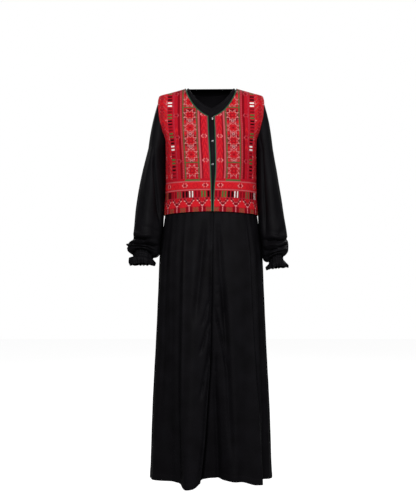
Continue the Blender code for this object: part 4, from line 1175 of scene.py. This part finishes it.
# Columns are counted in stitches from a panel's centre edge and rows from its hem. A range ends before its
# second number.
chartRules = {
    "lines": ((0, 4, "rose"), (4, 13, "red"), (13, 15, "dark"), (15, 16, "rose"), (16, 18, "pink"),
              (18, 19, "rose"), (19, 22, "olive"), (22, 43, "red"), (43, 46, "olive"), (46, 47, "red"),
              (47, 49, "rose"), (49, 50, "red"), (50, 54, "dark"), (54, 60, "red"), (60, 62, "rose"),
              (62, 72, "red"), (72, 73, "rose")),
    "dottedLine": 48,
    "strip1": {"from": 4, "to": 13, "middle": 8},
    "strip2": {"from": 54, "to": 60, "middle": 56, "low": 106, "high": 150},
    "stripStarEvery": 43,
    "stripStarFirst": 88,
    "starPanel": (22, 43),
    "panelFoot": 57,
    "footLine": (53, 55),  # the green rows below the panel
    "starCell": 25,
    "firstCell": 27,
    "greenLines": (84, 188),  # the row that each of the two lines starts on
    "ladder": (64, 72),
    "ladderColours": "GRBGRWBGRBGRWBGR",  # pairs of rungs from the border up
    "ladderFirst": 47,
    "ladderEvery": 12,
    "field": {"from": 72, "wide": 22, "tall": 34},
    # single upright bars from the front edge out
    "barColours": {"left": "RRGGBBWWRROOBBWWRRGG", "right": "BGGRRWWBBOORRBBOORRG",
                   "back": "RRGGBBWWRROOBBWWRRGG"},
    "firstBar": {"left": 3, "right": 4, "back": 1},
    "barEvery": 5.5,
    "bars": (25, 36),
    "treeEvery": 23,
    "treeFirst": 16,
    "trees": {"top": 25, "trunk": 9, "arms": 22, "branch": 10, "innerBranch": 15, "slope": 0.82,
              "armWidth": 1.9},
    "border": (39, 51),
    "diamonds": {"every": 18, "row": 44, "reach": 5},
    "borderStars": {"left": (10, 46, 82, 118), "right": (10, 46, 82, 118), "back": (0, 36, 72, 108)},
}
threadNames = list(thread["colours"])
threadIndex = {name: i for i, name in enumerate(threadNames)}
barThread = {"R": "dark", "G": "green", "B": "black", "W": "white", "O": "olive"}


def setStitch(chart, row, column, name):
    if 0 <= row < chart.shape[0] and 0 <= column < chart.shape[1]:
        chart[row, column] = threadIndex[name]


def stampStar(chart, row, column, h, k, edge, petal, rib, heart, halo=None):
    # An eight-pointed star: eight slanting petals, each h wide and k tall, round its heart.
    reach = h + k + (halo is not None)
    for dy in range(-reach, reach + 1):
        for dx in range(-reach, reach + 1):
            low, high = sorted((abs(dx), abs(dy)))
            if low > h or high - low > k:
                if halo is None or low > h + 1 or high - low > k + 1 or (dx + dy) % 2:
                    continue
                name = halo
            elif high <= heart[1]:
                name = heart[0]
            elif high - low == k or (low == h and high > h):
                along = low if high - low == k else high
                name = "rose" if edge == "pale" and along % 3 == 1 else edge
            elif h > 2 and low in (2, 3) and high in (h + 2, h + 3):
                name = "dark"  # a dark stitch or two in each petal
            elif low == 0 or low == high:
                name = rib
            else:
                name = petal
            setStitch(chart, row + dy, column + dx, name)


def stampCross(chart, row, column, ray, dot, heart):
    # A small crossed star: dots on the slant, rays and dots at the sides, and a heart.
    marks = []
    for s in (-1, 1):
        marks += [(s * i, t * j, dot) for t in (-1, 1) for i, j in ((1, 2), (2, 2), (3, 3), (3, 2), (2, 3))]
    marks += [(s, t, heart) for s in (-1, 0, 1) for t in (-1, 0, 1)]
    marks += [(s, t * i, ray if i == 4 else dot) for s in (-1, 0, 1) for t in (-1, 1) for i in (4, 5)]
    marks += [(s * 3, t * 2, ray) for s in (-1, 1) for t in (-1, 1)]
    for dy, dx, name in marks:
        setStitch(chart, row + dy, column + dx, name)


def fieldPattern(chart, fromColumn):
    # Dark red ground with small stepped trees and rosettes, all over.
    field, ink = chartRules["field"], threadIndex
    y, x = np.mgrid[0:chart.shape[0], 0:chart.shape[1]]
    chart[:, fromColumn:] = ink["red"]
    half = field["wide"] // 2
    fromMiddle, v = np.abs((x - fromColumn) % field["wide"] - half), y % field["tall"]
    outer = x >= fromColumn
    step = v % 6
    leaf = (step == fromMiddle % 6) | (step == (fromMiddle + 1) % 6)
    leaf = leaf & (fromMiddle < 7 - (v // 6)) & (v < 26)
    fromHeart = np.abs(v - 28)
    rosette = (np.abs(fromMiddle - half) + fromHeart == 4) | ((fromMiddle >= half - 1) & (fromHeart < 2))
    hooks = (((fromMiddle + v) % 9) // 2 == 3) & (fromMiddle > 2) & ((x // 2 + y // 2) % 2 == 0)
    for where, name in (((fromMiddle + (v % 17)) % 9 < 6, "bright"), (leaf, "dark"),
                        (leaf & (fromMiddle == 5), "olive"), ((fromMiddle == 0) & (v < 24), "rose"),
                        (hooks, "pink"), (rosette & (y // 2 % 2 == 0), "pale")):
        chart[outer & where] = ink[name]


def treeStitch(x, y, near):
    # near is 0 on a trunk and 11 half way between two. The trunk carries two pairs of arms in a double V.
    trees = chartRules["trees"]
    climb = y - trees["branch"]
    outerArm, innerArm = near - trees["slope"] * climb, near - trees["slope"] * (y - trees["innerBranch"])
    if y < trees["trunk"]:
        if near < 2:
            return "rose" if near else "pale" if y % 2 else "pink"
        if near < 6:
            return "dark"
        return "olive" if near >= 7 and y < 8 and (near + y // 2) % 2 else "red"
    if y < trees["arms"] and 0 <= outerArm < trees["armWidth"] and climb >= -1:
        return "rose" if climb // 2 % 2 else "pale"
    if y < trees["arms"] and 0 <= innerArm < trees["armWidth"] and climb >= 4:
        return "pink" if climb // 2 % 2 else "dark"
    if innerArm < 0:
        return "bright" if (x + y) % 3 else "dark"
    if outerArm < 0:
        return "dark"
    return "bright" if near > 4 and y < 23 else "red"


def hemPattern(chart, side, firstTree):
    # Trees, then upright bars, then a red band of stars, round the foot of the waistcoat.
    rules, ink = chartRules, threadIndex
    columns, every, top = chart.shape[1], rules["treeEvery"], rules["trees"]["top"]
    for x in range(columns):
        near = min((x - firstTree) % every, (firstTree - x) % every)
        for y in range(top):
            chart[y, x] = ink[treeStitch(x, y, near)]
    low, high = rules["bars"]
    chart[low:high] = ink["red"]
    chart[top - 1] = ink["rose"]
    for i, letter in enumerate(rules["barColours"][side] * 2):
        start = rules["firstBar"][side] + round(rules["barEvery"] * i)
        if start + 3 <= columns:
            chart[low:high, start - 1:start + 4] = ink["dark" if letter in "WB" else "red"]
            chart[low:high, start:start + (2 if letter == "W" else 3)] = ink[barThread[letter]]
    low, high = rules["border"]
    chart[low - 3] = ink["red"]
    chart[low - 2:low] = ink["pink"]
    chart[low:high] = ink["bright"]
    y, x = np.mgrid[low:high, 0:columns]
    wide, row, reach = rules["diamonds"].values()
    chart[low:high][(np.abs((x % wide) - wide // 2) + np.abs(y - row)) == reach] = ink["red"]
    chart[low] = ink["red"]
    for column in rules["borderStars"][side]:
        stampCross(chart, (low + high) // 2, column, "pale", "pink", "dark")
    chart[high:high + 2] = ink["pink"]


def starPanel(chart):
    # Cells of stars up the panel, dark and bright in turn, with two green lines across it.
    rules, ink = chartRules, threadIndex
    left, right = rules["starPanel"]
    rows, middle, start, kind = chart.shape[0], (left + right - 1) // 2, rules["panelFoot"], 0
    while start < rows:
        tall = rules["starCell"] if kind else rules["firstCell"]
        bright = kind % 2 == 1
        chart[start:start + tall, left:right] = ink["red" if bright or kind == 0 else "dark"]
        centre = start + tall // 2
        for y in range(start, min(start + tall, rows)):
            for x in range(left, right):
                corner = min(x - left, right - 1 - x) + min(y - start, start + tall - 1 - y)
                if corner < 5:
                    chart[y, x] = ink["pink" if corner == 4 and y % 4 < 2 else "bright" if bright else "red"]
        stampStar(chart, centre, middle, 5, 6, "pale", "bright", "dark", ("bright", 1), "dark")
        if bright:
            stampStar(chart, centre, middle, 2, 3, "bright", "bright", "dark", ("red", 0))
            for dx, dy in ((8, 8), (-8, 8), (8, -8), (-8, -8)):
                setStitch(chart, centre + dy, middle + dx, "olive")
        else:
            stampStar(chart, centre, middle, 2, 2, "dark", "bright", "bright", ("bright", 1))
        if kind not in (0, 5):
            stampStar(chart, start, middle, 1, 2, "pale", "deep", "deep", ("black", 0))
        start += tall + (2 if kind in (0, 4) else 0)
        kind += 1
    for row in rules["greenLines"]:
        if row < rows:
            chart[row:row + 2, left - 3:right + 3] = ink["green"]
            chart[row + 1, left:right] = ink["olive"]


def frontChart(side, rows, columns):
    rules, ink = chartRules, threadIndex
    chart = np.full((rows, columns), ink["red"], int)
    fieldPattern(chart, rules["field"]["from"])
    for start, stop, name in rules["lines"]:
        chart[:, start:stop] = ink[name]
    y = np.arange(rows)
    chart[y // 2 % 2 == 0, rules["dottedLine"]] = ink["pink"]
    strip1, strip2 = rules["strip1"], rules["strip2"]
    for x in range(strip1["from"], strip1["to"]):
        chart[(y + 3 * abs(x - strip1["middle"])) % 14 < 6, x] = ink["bright"]
        chart[(y * 5 + x * 7) % 31 < 2, x] = ink["rose"]
    for x in range(strip2["from"], strip2["to"]):
        zigzag = (y + 2 * abs(x - strip2["middle"])) % 16 < 6
        chart[zigzag & (y >= strip2["low"]) & (y < strip2["high"]), x] = ink["bright"]
    starPanel(chart)
    for row in range(rules["stripStarFirst"], rows, rules["stripStarEvery"]):
        stampCross(chart, row, strip1["middle"], "pale", "pink", "rose")
        stampCross(chart, row - 1, strip2["middle"], "pink", "rose", "dark")
    foot, (low, high) = rules["panelFoot"], rules["ladder"]
    for i, letter in enumerate(rules["ladderColours"]):
        for rung in (0, 6):
            start = rules["ladderFirst"] + rules["ladderEvery"] * i + rung
            if start >= foot - 3 and start + 3 < rows:
                chart[start:start + 3, low:high] = ink[barThread[letter]]
    # the olive foot of the star panel and the borders below it
    (greenLow, greenHigh), (left, right) = rules["footLine"], rules["starPanel"]
    chart[greenLow:foot] = ink["red"]
    chart[greenLow:foot - 1, left - 3:right + 3] = ink["olive"]
    chart[greenLow:greenHigh, left - 3:right + 3] = ink["green"]
    hemPattern(chart, side, rules["treeFirst"])
    return chart


def backChart(side, rows, columns):
    # s is counted from the centre back, the same both ways
    chart = np.empty((rows, columns), int)
    fieldPattern(chart, 0)
    low, high = chartRules["footLine"]
    chart[low:high + 1] = threadIndex["olive"]
    hemPattern(chart, side, 0)
    return chart


def inside(outline, x, y):
    found = np.zeros(x.shape, bool)
    for (x0, y0), (x1, y1) in zip(outline, np.roll(outline, -1, 0)):
        crosses = (y0 > y) != (y1 > y)
        with np.errstate(divide="ignore", invalid="ignore"):
            found ^= crosses & (x < (x1 - x0) * (y - y0) / (y1 - y0) + x0)
    return found


def nearestOn(outline, points):
    best, distance = points.copy(), np.full(len(points), 1e9)
    for a, b in zip(outline, np.roll(outline, -1, 0)):
        span = b - a
        share = np.clip(((points - a) @ span) / max(span @ span, 1e-16), 0, 1)
        spot = a + share[:, None] * span
        away = np.linalg.norm(spot - points, axis=1)
        closer = away < distance
        best[closer], distance[closer] = spot[closer], away[closer]
    return best


def panelOutline(cut, reverse, inset):
    # The edge of a panel in (s, t): up the centre, round the neck, along the shoulder, down armhole and side.
    neck = reverse(*necklineOf(cut, 30))
    armAngle, armDrop = armholeAt(np.linspace(0, 180, 40), cut["back"], cut["easeOut"])
    arm = reverse(armAngle, armDrop)
    shoulderDrop = np.linspace(neckPointDrop(cut["neckHalfWidth"]), armDrop[0], 30)[1:-1]
    shoulder = reverse(seamAngle(shoulderDrop, cut["back"]), shoulderDrop)
    sideDrop = np.linspace(armDrop[-1], vest["hemSide"] if cut["back"] else vest["hemFront"], 24)[1:]
    side = reverse(seamAngle(sideDrop, cut["back"]), sideDrop)
    centre = np.array([[inset, 0.0], [inset, neck[0, 1]]])
    neck[:, 0] = np.maximum(neck[:, 0], inset)
    return np.concatenate([centre, neck[1:], shoulder, arm, side])


def stitchGrid(side, cut, chartMaker, lowest):
    # The squares of one half panel that lie inside its outline, with its edge squares trimmed to it.
    place, reverse = stitchMap(cut)
    outline = panelOutline(cut, reverse, lowest)
    step = thread["stitch"]
    columns = int(np.ceil(outline[:, 0].max() / step)) + 1
    rows = int(np.ceil(outline[:, 1].max() / step)) + 1
    first = int(round(lowest / step))
    s = (np.arange(first, columns + 1) * step)[None, :] * np.ones((rows + 1, 1))
    t = (np.arange(rows + 1) * step)[:, None] * np.ones((1, s.shape[1]))
    keep = inside(outline, (s[:-1, :-1] + s[:-1, 1:]) / 2, (t[:-1, :-1] + t[1:, :-1]) / 2)
    used = np.zeros(s.shape, int)
    for i in (0, 1):
        for j in (0, 1):
            used[i:i + keep.shape[0], j:j + keep.shape[1]] += keep
    rim = (used > 0) & (used < 4)
    flat = np.stack([s[rim], t[rim]], -1)
    moved = nearestOn(outline, flat)
    near = np.linalg.norm(moved - flat, axis=1) < step * 1.5
    sMoved, tMoved = s.copy(), t.copy()
    sMoved[rim] = np.where(near, moved[:, 0], flat[:, 0])
    tMoved[rim] = np.where(near, moved[:, 1], flat[:, 1])
    angle, drop = place(sMoved, tMoved)
    chart = chartMaker(side, rows, columns + 1)[:, first:first + keep.shape[1]]
    # rows run down from here on
    return tuple(grid[::-1] for grid in (angle, drop, s, t, keep, chart))


def threadColours(chart, seed):
    # Each stitch takes its thread's colour, a little lighter or darker than its neighbours.
    palette = np.array([toLinear(thread["colours"][name]) for name in threadNames])
    rng = np.random.default_rng(seed)
    colours = palette[chart].copy()
    colours[..., :3] *= rng.normal(1.0, thread["spread"], chart.shape).clip(0.8, 1.2)[..., None]
    return colours.clip(0, 1)


def addVest():
    for side, cut in vestCuts.items():
        back = side == "back"
        grids = stitchGrid(side, cut, backChart if back else frontChart, 0.0 if back else vest["trim"])
        if side == "right":
            grids = [grid[:, ::-1] for grid in grids]
        angle, drop, s, t, keep, chart = grids
        if side == "right":
            angle, s = -angle, -s
        if back:
            angle, drop, s, t = wholeBack(angle, 360 - angle), wholeBack(drop), wholeBack(-s, s), wholeBack(t)
            keep, chart = wholeBack(keep, skip=0), wholeBack(chart, skip=0)
        name, node = panelNames("waistcoat", "vest", side)
        addShell(name, node, vestSurface(angle, drop), np.stack([s, t], -1), vest["thickness"], crossStitch,
                 "red_embroidery", keep=keep, colours=threadColours(chart, len(side)))


addVest()
print("stage 6: waistcoat")


binding = {
    # round the raw edge: (towards the cloth, above its face)
    "profile": ((0.0036, -0.0008), (0.0034, 0.0004), (0.0028, 0.0009), (0.0018, 0.0011), (0.0008, 0.0009),
                (0.0000, 0.0003), (-0.0004, -0.0006), (-0.0003, -0.0016), (0.0004, -0.0023),
                (0.0018, -0.0024)),
    "stitchLine": (0.0029, 0.0009),
    "neckProfile": ((0.0070, 0.0003), (0.0068, 0.0013), (0.0055, 0.0017), (0.0035, 0.0018), (0.0014, 0.0016),
                    (0.0002, 0.0010), (-0.0003, 0.0002), (0.0002, -0.0008), (0.0020, -0.0016),
                    (0.0060, -0.0016)),
    "neckStitchLine": (0.0058, 0.0018),
    "underRight": 0.004,  # the left neck binding starts this far outside the right front's edge
    "puckerEvery": 0.006,
    "puckerDepth": 0.0001,
    "edgeRows": 150,
    "neckRows": 60,
}


def edgePath(cut, surface, low, mirror):
    # Points along a panel's centre edge and neckline, with the way into the cloth and the way out from it.
    angle, drop = necklineOf(cut, binding["neckRows"])
    if low is not None:
        edgeAngle, edgeDrop = centreEdgeOf(cut, binding["edgeRows"], low)
        angle, drop = np.append(edgeAngle, angle[1:]), np.append(edgeDrop, drop[1:])
    if mirror:
        angle = -angle
    points = surface(angle, drop)
    outward = normalOf(surface, angle, drop)
    inward = np.cross(outward, np.gradient(points, axis=0))
    inward /= np.linalg.norm(inward, axis=-1, keepdims=True)
    amidst = 120.0 if cut["back"] else -50.0 if mirror else 50.0
    middle = surface(np.full(1, amidst), np.full(1, garment["underarmDrop"]))[0]
    third = len(points) // 3
    if np.sum(inward[third] * (middle - points[third])) < 0:
        inward = -inward
    return points, inward, outward


def pastCentre(path):
    # The path along half a back with its mirror image, from the wearer's right to their left.
    whole = [np.concatenate([part[::-1] * (-1, 1, 1), part[1:]]) for part in path]
    order = np.argsort(whole[0][:, 0])
    return [part[order] for part in whole]


def puckered(points, outward):
    wave = np.sin(runLength(points) / binding["puckerEvery"] * 2 * math.pi)
    return points + outward * (binding["puckerDepth"] * wave)[:, None]


bindingPaths = {}


def addBinding(title, node, side, path, profile, stitchLine, material, slot):
    points, inward, outward = pastCentre(path) if side == "back" else path
    sweep(title + side.capitalize(), node + side, puckered(points, outward), inward, outward, profile,
          material)
    bindingPaths[title + side] = points + inward * stitchLine[0] + outward * stitchLine[1]


def addBindings():
    for side, cut in vestCuts.items():
        path = edgePath(cut, vestSurface, None if side == "back" else vest["hemFront"], side == "right")
        addBinding("greenBinding", "vest_binding_", side, path, binding["profile"], binding["stitchLine"],
                   greenSatin, "green_binding")
    for side, cut in bodiceCuts.items():
        path = edgePath(cut, bodiceOver if side == "right" else bodiceUnder, None, side == "right")
        if side == "left":
            clear = path[0][:, 0] > opening(-path[0][:, 2]) + binding["underRight"]
            path = [part[clear] for part in path]
        addBinding("neckBinding", "neck_binding_", side, path, binding["neckProfile"],
                   binding["neckStitchLine"], *crepeLook)


addBindings()
print("stage 7: bindings")


sewing = {
    "length": 0.0026,
    "width": 0.0005,
    "lift": 0.0003,
    "spacing": {"binding": 0.0032, "hem": 0.0048, "frontEdge": 0.0040, "wrist": 0.0034},
    "hemAbove": 0.0012,  # above the fold of the hem
    "hemPoints": 240,
    "frontEdgeIn": 0.006,
    # where the front edge's stitches start and end, as drops, and the number of points between
    "frontEdgeBodice": (0.095, 0.437, 120),
    "frontEdgeSkirt": (0.446, 1.37, 300),
    "cuffRuns": (0.17, 0.5, 0.83),
    "cuffPoints": 240,
    "frill": {"run": 0.86, "points": 260, "lift": 0.0002},
}


def makeStitchTree():
    # Lays short rounded stitches end to end along lines of edges.
    tree = bpy.data.node_groups.new("runningStitch", "GeometryNodeTree")
    for name, kind in (("Lines", "Geometry"), ("Spacing", "Float"), ("Stitch Length", "Float"),
                       ("Thread Width", "Float"), ("Thread", "Material")):
        tree.interface.new_socket(name=name, in_out="INPUT", socket_type="NodeSocket" + kind)
    tree.interface.new_socket(name="Stitches", in_out="OUTPUT", socket_type="NodeSocketGeometry")
    given = addNode(tree, "NodeGroupInput").outputs
    curve = addNode(tree, "GeometryNodeMeshToCurve", {"Mesh": given["Lines"]}).outputs["Curve"]
    points = addNode(tree, "GeometryNodeCurveToPoints", {"Curve": curve, "Length": given["Spacing"]},
                     mode="LENGTH")
    half = calculate(tree, "MULTIPLY", given["Stitch Length"], 0.5)
    thin = calculate(tree, "MULTIPLY", given["Thread Width"], 0.5)
    size = addNode(tree, "ShaderNodeCombineXYZ", {"X": half, "Y": thin, "Z": thin}).outputs[0]
    ball = addNode(tree, "GeometryNodeMeshUVSphere", {"Segments": 6, "Rings": 4, "Radius": 1.0})
    stitch = addNode(tree, "GeometryNodeTransform", {"Geometry": ball.outputs["Mesh"], "Scale": size})
    tangent = points.outputs["Tangent"]
    facing = addNode(tree, "FunctionNodeAlignRotationToVector", {"Vector": tangent}, axis="X")
    placed = addNode(tree, "GeometryNodeInstanceOnPoints", {
        "Points": points.outputs["Points"], "Instance": stitch.outputs["Geometry"],
        "Rotation": facing.outputs["Rotation"]})
    real = addNode(tree, "GeometryNodeRealizeInstances", {"Geometry": placed.outputs["Instances"]}).outputs[0]
    soft = addNode(tree, "GeometryNodeSetShadeSmooth", {"Geometry": real}).outputs[0]
    painted = addNode(tree, "GeometryNodeSetMaterial", {"Geometry": soft, "Material": given["Thread"]})
    result = addNode(tree, "NodeGroupOutput")
    tree.links.new(painted.outputs["Geometry"], result.inputs["Stitches"])
    return tree


stitchTree = makeStitchTree()


def addStitches(name, lines, material, spacing):
    # lines are lists of points; the modifier's result becomes a plain mesh
    points, edges = [], []
    for line in lines:
        start = len(points)
        points += [tuple(p) for p in line]
        edges += [(start + i, start + i + 1) for i in range(len(line) - 1)]
    mesh = bpy.data.meshes.new(name + "Lines")
    mesh.from_pydata(points, edges, [])
    helper = link(name + "Lines", mesh)
    modifier = helper.modifiers.new("stitches", "NODES")
    modifier.node_group = stitchTree
    values = {"Spacing": spacing, "Stitch Length": sewing["length"], "Thread Width": sewing["width"],
              "Thread": material}
    for item in stitchTree.interface.items_tree:
        if item.item_type == "SOCKET" and item.in_out == "INPUT" and item.name in values:
            modifier[item.identifier] = values[item.name]
    graph = bpy.context.evaluated_depsgraph_get()
    made = bpy.data.meshes.new_from_object(helper.evaluated_get(graph))
    helper.modifiers.remove(modifier)
    bpy.data.objects.remove(helper)
    made.name = name
    addPiece(name, made)


def ringLine(skin, run, columns, lift, sign):
    turn = np.linspace(0, 360, columns + 1)[None, :] * np.ones((3, 1))
    runs = np.array([run - 0.02, run, run + 0.02])[:, None] * np.ones((1, columns + 1))
    points = skin(turn, runs)
    outward = gridNormals(points, False)[1] * -sign
    return points[1] + outward * lift


def liftedLine(surface, angle, drop):
    return surface(angle, drop) + normalOf(surface, angle, drop) * sewing["lift"]


def addSewing():
    spacing = sewing["spacing"]
    sides = ("left", "right", "back")
    addStitches("bindingStitches", [bindingPaths["greenBinding" + side] for side in sides], greenThread,
                spacing["binding"])
    addStitches("neckStitches", [bindingPaths["neckBinding" + side] for side in sides], blackThread,
                spacing["binding"])
    edge = float(angleAt(opening(1.38), 1.38))
    hems = []
    for folds, laps, low, high in ((skirt["rightFolds"], True, -89.7, edge - 0.6),
                                   (skirt["leftFolds"], False, edge + 1.5, 89.7),
                                   (skirt["backFolds"], False, 90.3, 269.7)):
        angle = np.linspace(low, high, sewing["hemPoints"])
        drop = hemAt(angle) - skirt["hemDepth"] - sewing["hemAbove"]
        hems.append(liftedLine(skirtSurface(folds, laps), angle, drop))
    addStitches("hemStitches", hems, blackThread, spacing["hem"])
    edges = []
    for surface, span in ((bodiceOver, sewing["frontEdgeBodice"]),
                          (skirtSurface(skirt["rightFolds"], True), sewing["frontEdgeSkirt"])):
        drops = np.linspace(*span)
        edges.append(liftedLine(surface, angleAt(opening(drops) - sewing["frontEdgeIn"], drops), drops))
    addStitches("frontEdgeStitches", edges, blackThread, spacing["frontEdge"])
    rings, frill = [], sewing["frill"]
    for side, sign in (("left", 1), ("right", -1)):
        _, cuffSkin, frillSkin = sleeveSurfaces(side)
        for run in sewing["cuffRuns"]:
            rings.append(ringLine(cuffSkin, run, sewing["cuffPoints"], sewing["lift"], sign))
        rings.append(ringLine(frillSkin, frill["run"], frill["points"], frill["lift"], sign))
    addStitches("wristStitches", rings, blackThread, spacing["wrist"])


addSewing()
print("stage 8: sewing")


snap = {
    "x": 0.0050,
    "drops": (0.120, 0.201, 0.282),
    "radius": 0.0045,
    # (share of the radius, height): a pressed cap with a rolled rim, a shallow ring and a low dome
    "profile": ((1.00, 0.0000), (1.03, 0.0004), (1.00, 0.0009), (0.93, 0.0012), (0.84, 0.0011),
                (0.78, 0.0009), (0.70, 0.0010), (0.56, 0.0014), (0.40, 0.0017), (0.22, 0.0019),
                (0.08, 0.0020)),
    "sides": 40,
}


def addSnaps():
    for number, drop in enumerate(snap["drops"], start=1):
        angle, drop = angleAt(snap["x"], drop), np.array(drop)
        outward = normalOf(bodiceOver, angle, drop)
        seat = bodiceOver(angle, drop) + outward * garment["seamGap"]
        down = np.array([0.0, 0.0, -1.0])
        down = down - outward * (down @ outward)
        down /= np.linalg.norm(down)
        side = np.cross(outward, down)
        spokes = []
        for i in range(snap["sides"]):
            turn = 2 * math.pi * i / snap["sides"]
            spokes.append(side * math.cos(turn) + down * math.sin(turn))
        rings = [[seat + spoke * snap["radius"] * share + outward * height for spoke in spokes]
                 for share, height in snap["profile"]]
        cap = addPiece(f"snapCap{number}", ringMesh(f"snapCap{number}", rings, nickel, 50))
        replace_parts(cap, f"snap_{number}")


addSnaps()
print("stage 9: snap fasteners")


studio = {
    "floorDrop": 1.540,
    "floorHalf": 7.0,
    "floorColours": ("#8E8E8E", "#969696"),
    "floorGrain": 40.0,
    "floorRoughness": 0.9,
    "floorGlow": 0.92,  # keeps the floor as pale as the wall to the eye
    "wall": "#FFFFFF",
    "ambient": 0.13,  # how much of the white wall's light falls on the garment
    # name: (place, size, power, where it aims)
    "lamps": {
        "key": ((-0.30, -2.6, 0.60), 0.8, 50, (0, 0, -0.30)),
        "fill": ((1.1, -2.6, 0.9), 1.4, 20, (0, 0, -0.3)),
        "sideLeft": ((2.3, -1.6, 0.7), 1.4, 22, (0, 0, -0.3)),
        "sideRight": ((-2.3, -1.6, 0.7), 1.4, 16, (0, 0, -0.3)),
        "backLeft": ((1.6, 2.8, 1.9), 1.8, 60, (0, 0, -0.5)),
        "backRight": ((-1.6, 2.6, 1.6), 1.8, 46, (0, 0, -0.5)),
    },
    "camera": {"place": (-0.011, -3.6, -0.571), "lens": 72.7},
}


def addFloor():
    half, z = studio["floorHalf"], -studio["floorDrop"]
    mesh = bpy.data.meshes.new("paleFloor")
    corners = [(-half, -half, z), (half, -half, z), (half, half, z), (-half, half, z)]
    mesh.from_pydata(corners, [], [(0, 1, 2, 3)])
    material, tree, shader = newMaterial("matPaintedFloor")  # matt emulsion paint on board
    grain = noise(tree, addNode(tree, "ShaderNodeTexCoord").outputs["Object"], studio["floorGrain"], 3.0)
    tree.links.new(mixColours(tree, grain, *studio["floorColours"]), shader.inputs["Base Color"])
    shader.inputs["Roughness"].default_value = studio["floorRoughness"]
    shader.inputs["Emission Color"].default_value = (1.0, 1.0, 1.0, 1.0)
    seen = addNode(tree, "ShaderNodeLightPath").outputs["Is Camera Ray"]
    tree.links.new(calculate(tree, "MULTIPLY", seen, studio["floorGlow"]), shader.inputs["Emission Strength"])
    mesh.materials.append(material)
    link("paleFloor", mesh)


def addStudio():
    addFloor()
    world = bpy.data.worlds.new("paleStudio")
    bpy.context.scene.world = world
    world.use_nodes = True
    sky = world.node_tree
    background = sky.nodes["Background"].inputs
    background["Color"].default_value = toLinear(studio["wall"])
    seen = addNode(sky, "ShaderNodeLightPath").outputs["Is Camera Ray"]
    strength = addNode(sky, "ShaderNodeMapRange", {"Value": seen, "To Min": studio["ambient"], "To Max": 1.0})
    sky.links.new(strength.outputs["Result"], background["Strength"])
    for name, (place, size, power, aim) in studio["lamps"].items():
        light = bpy.data.lights.new(name, "AREA")
        light.shape, light.size, light.energy = "SQUARE", size, power
        holder = link(name + "Light", light)
        holder.location = place
        holder.rotation_euler = (Vector(aim) - Vector(place)).to_track_quat("-Z", "Y").to_euler()
    camera = bpy.data.cameras.new("photoView")
    camera.lens, camera.sensor_width = studio["camera"]["lens"], 36.0
    holder = link("photoView", camera)
    holder.location = studio["camera"]["place"]
    holder.rotation_euler = (math.radians(90), 0, 0)
    bpy.context.scene.camera = holder
    bpy.context.scene.view_settings.view_transform = "Standard"


addStudio()
print("stage 10: studio, finishing")
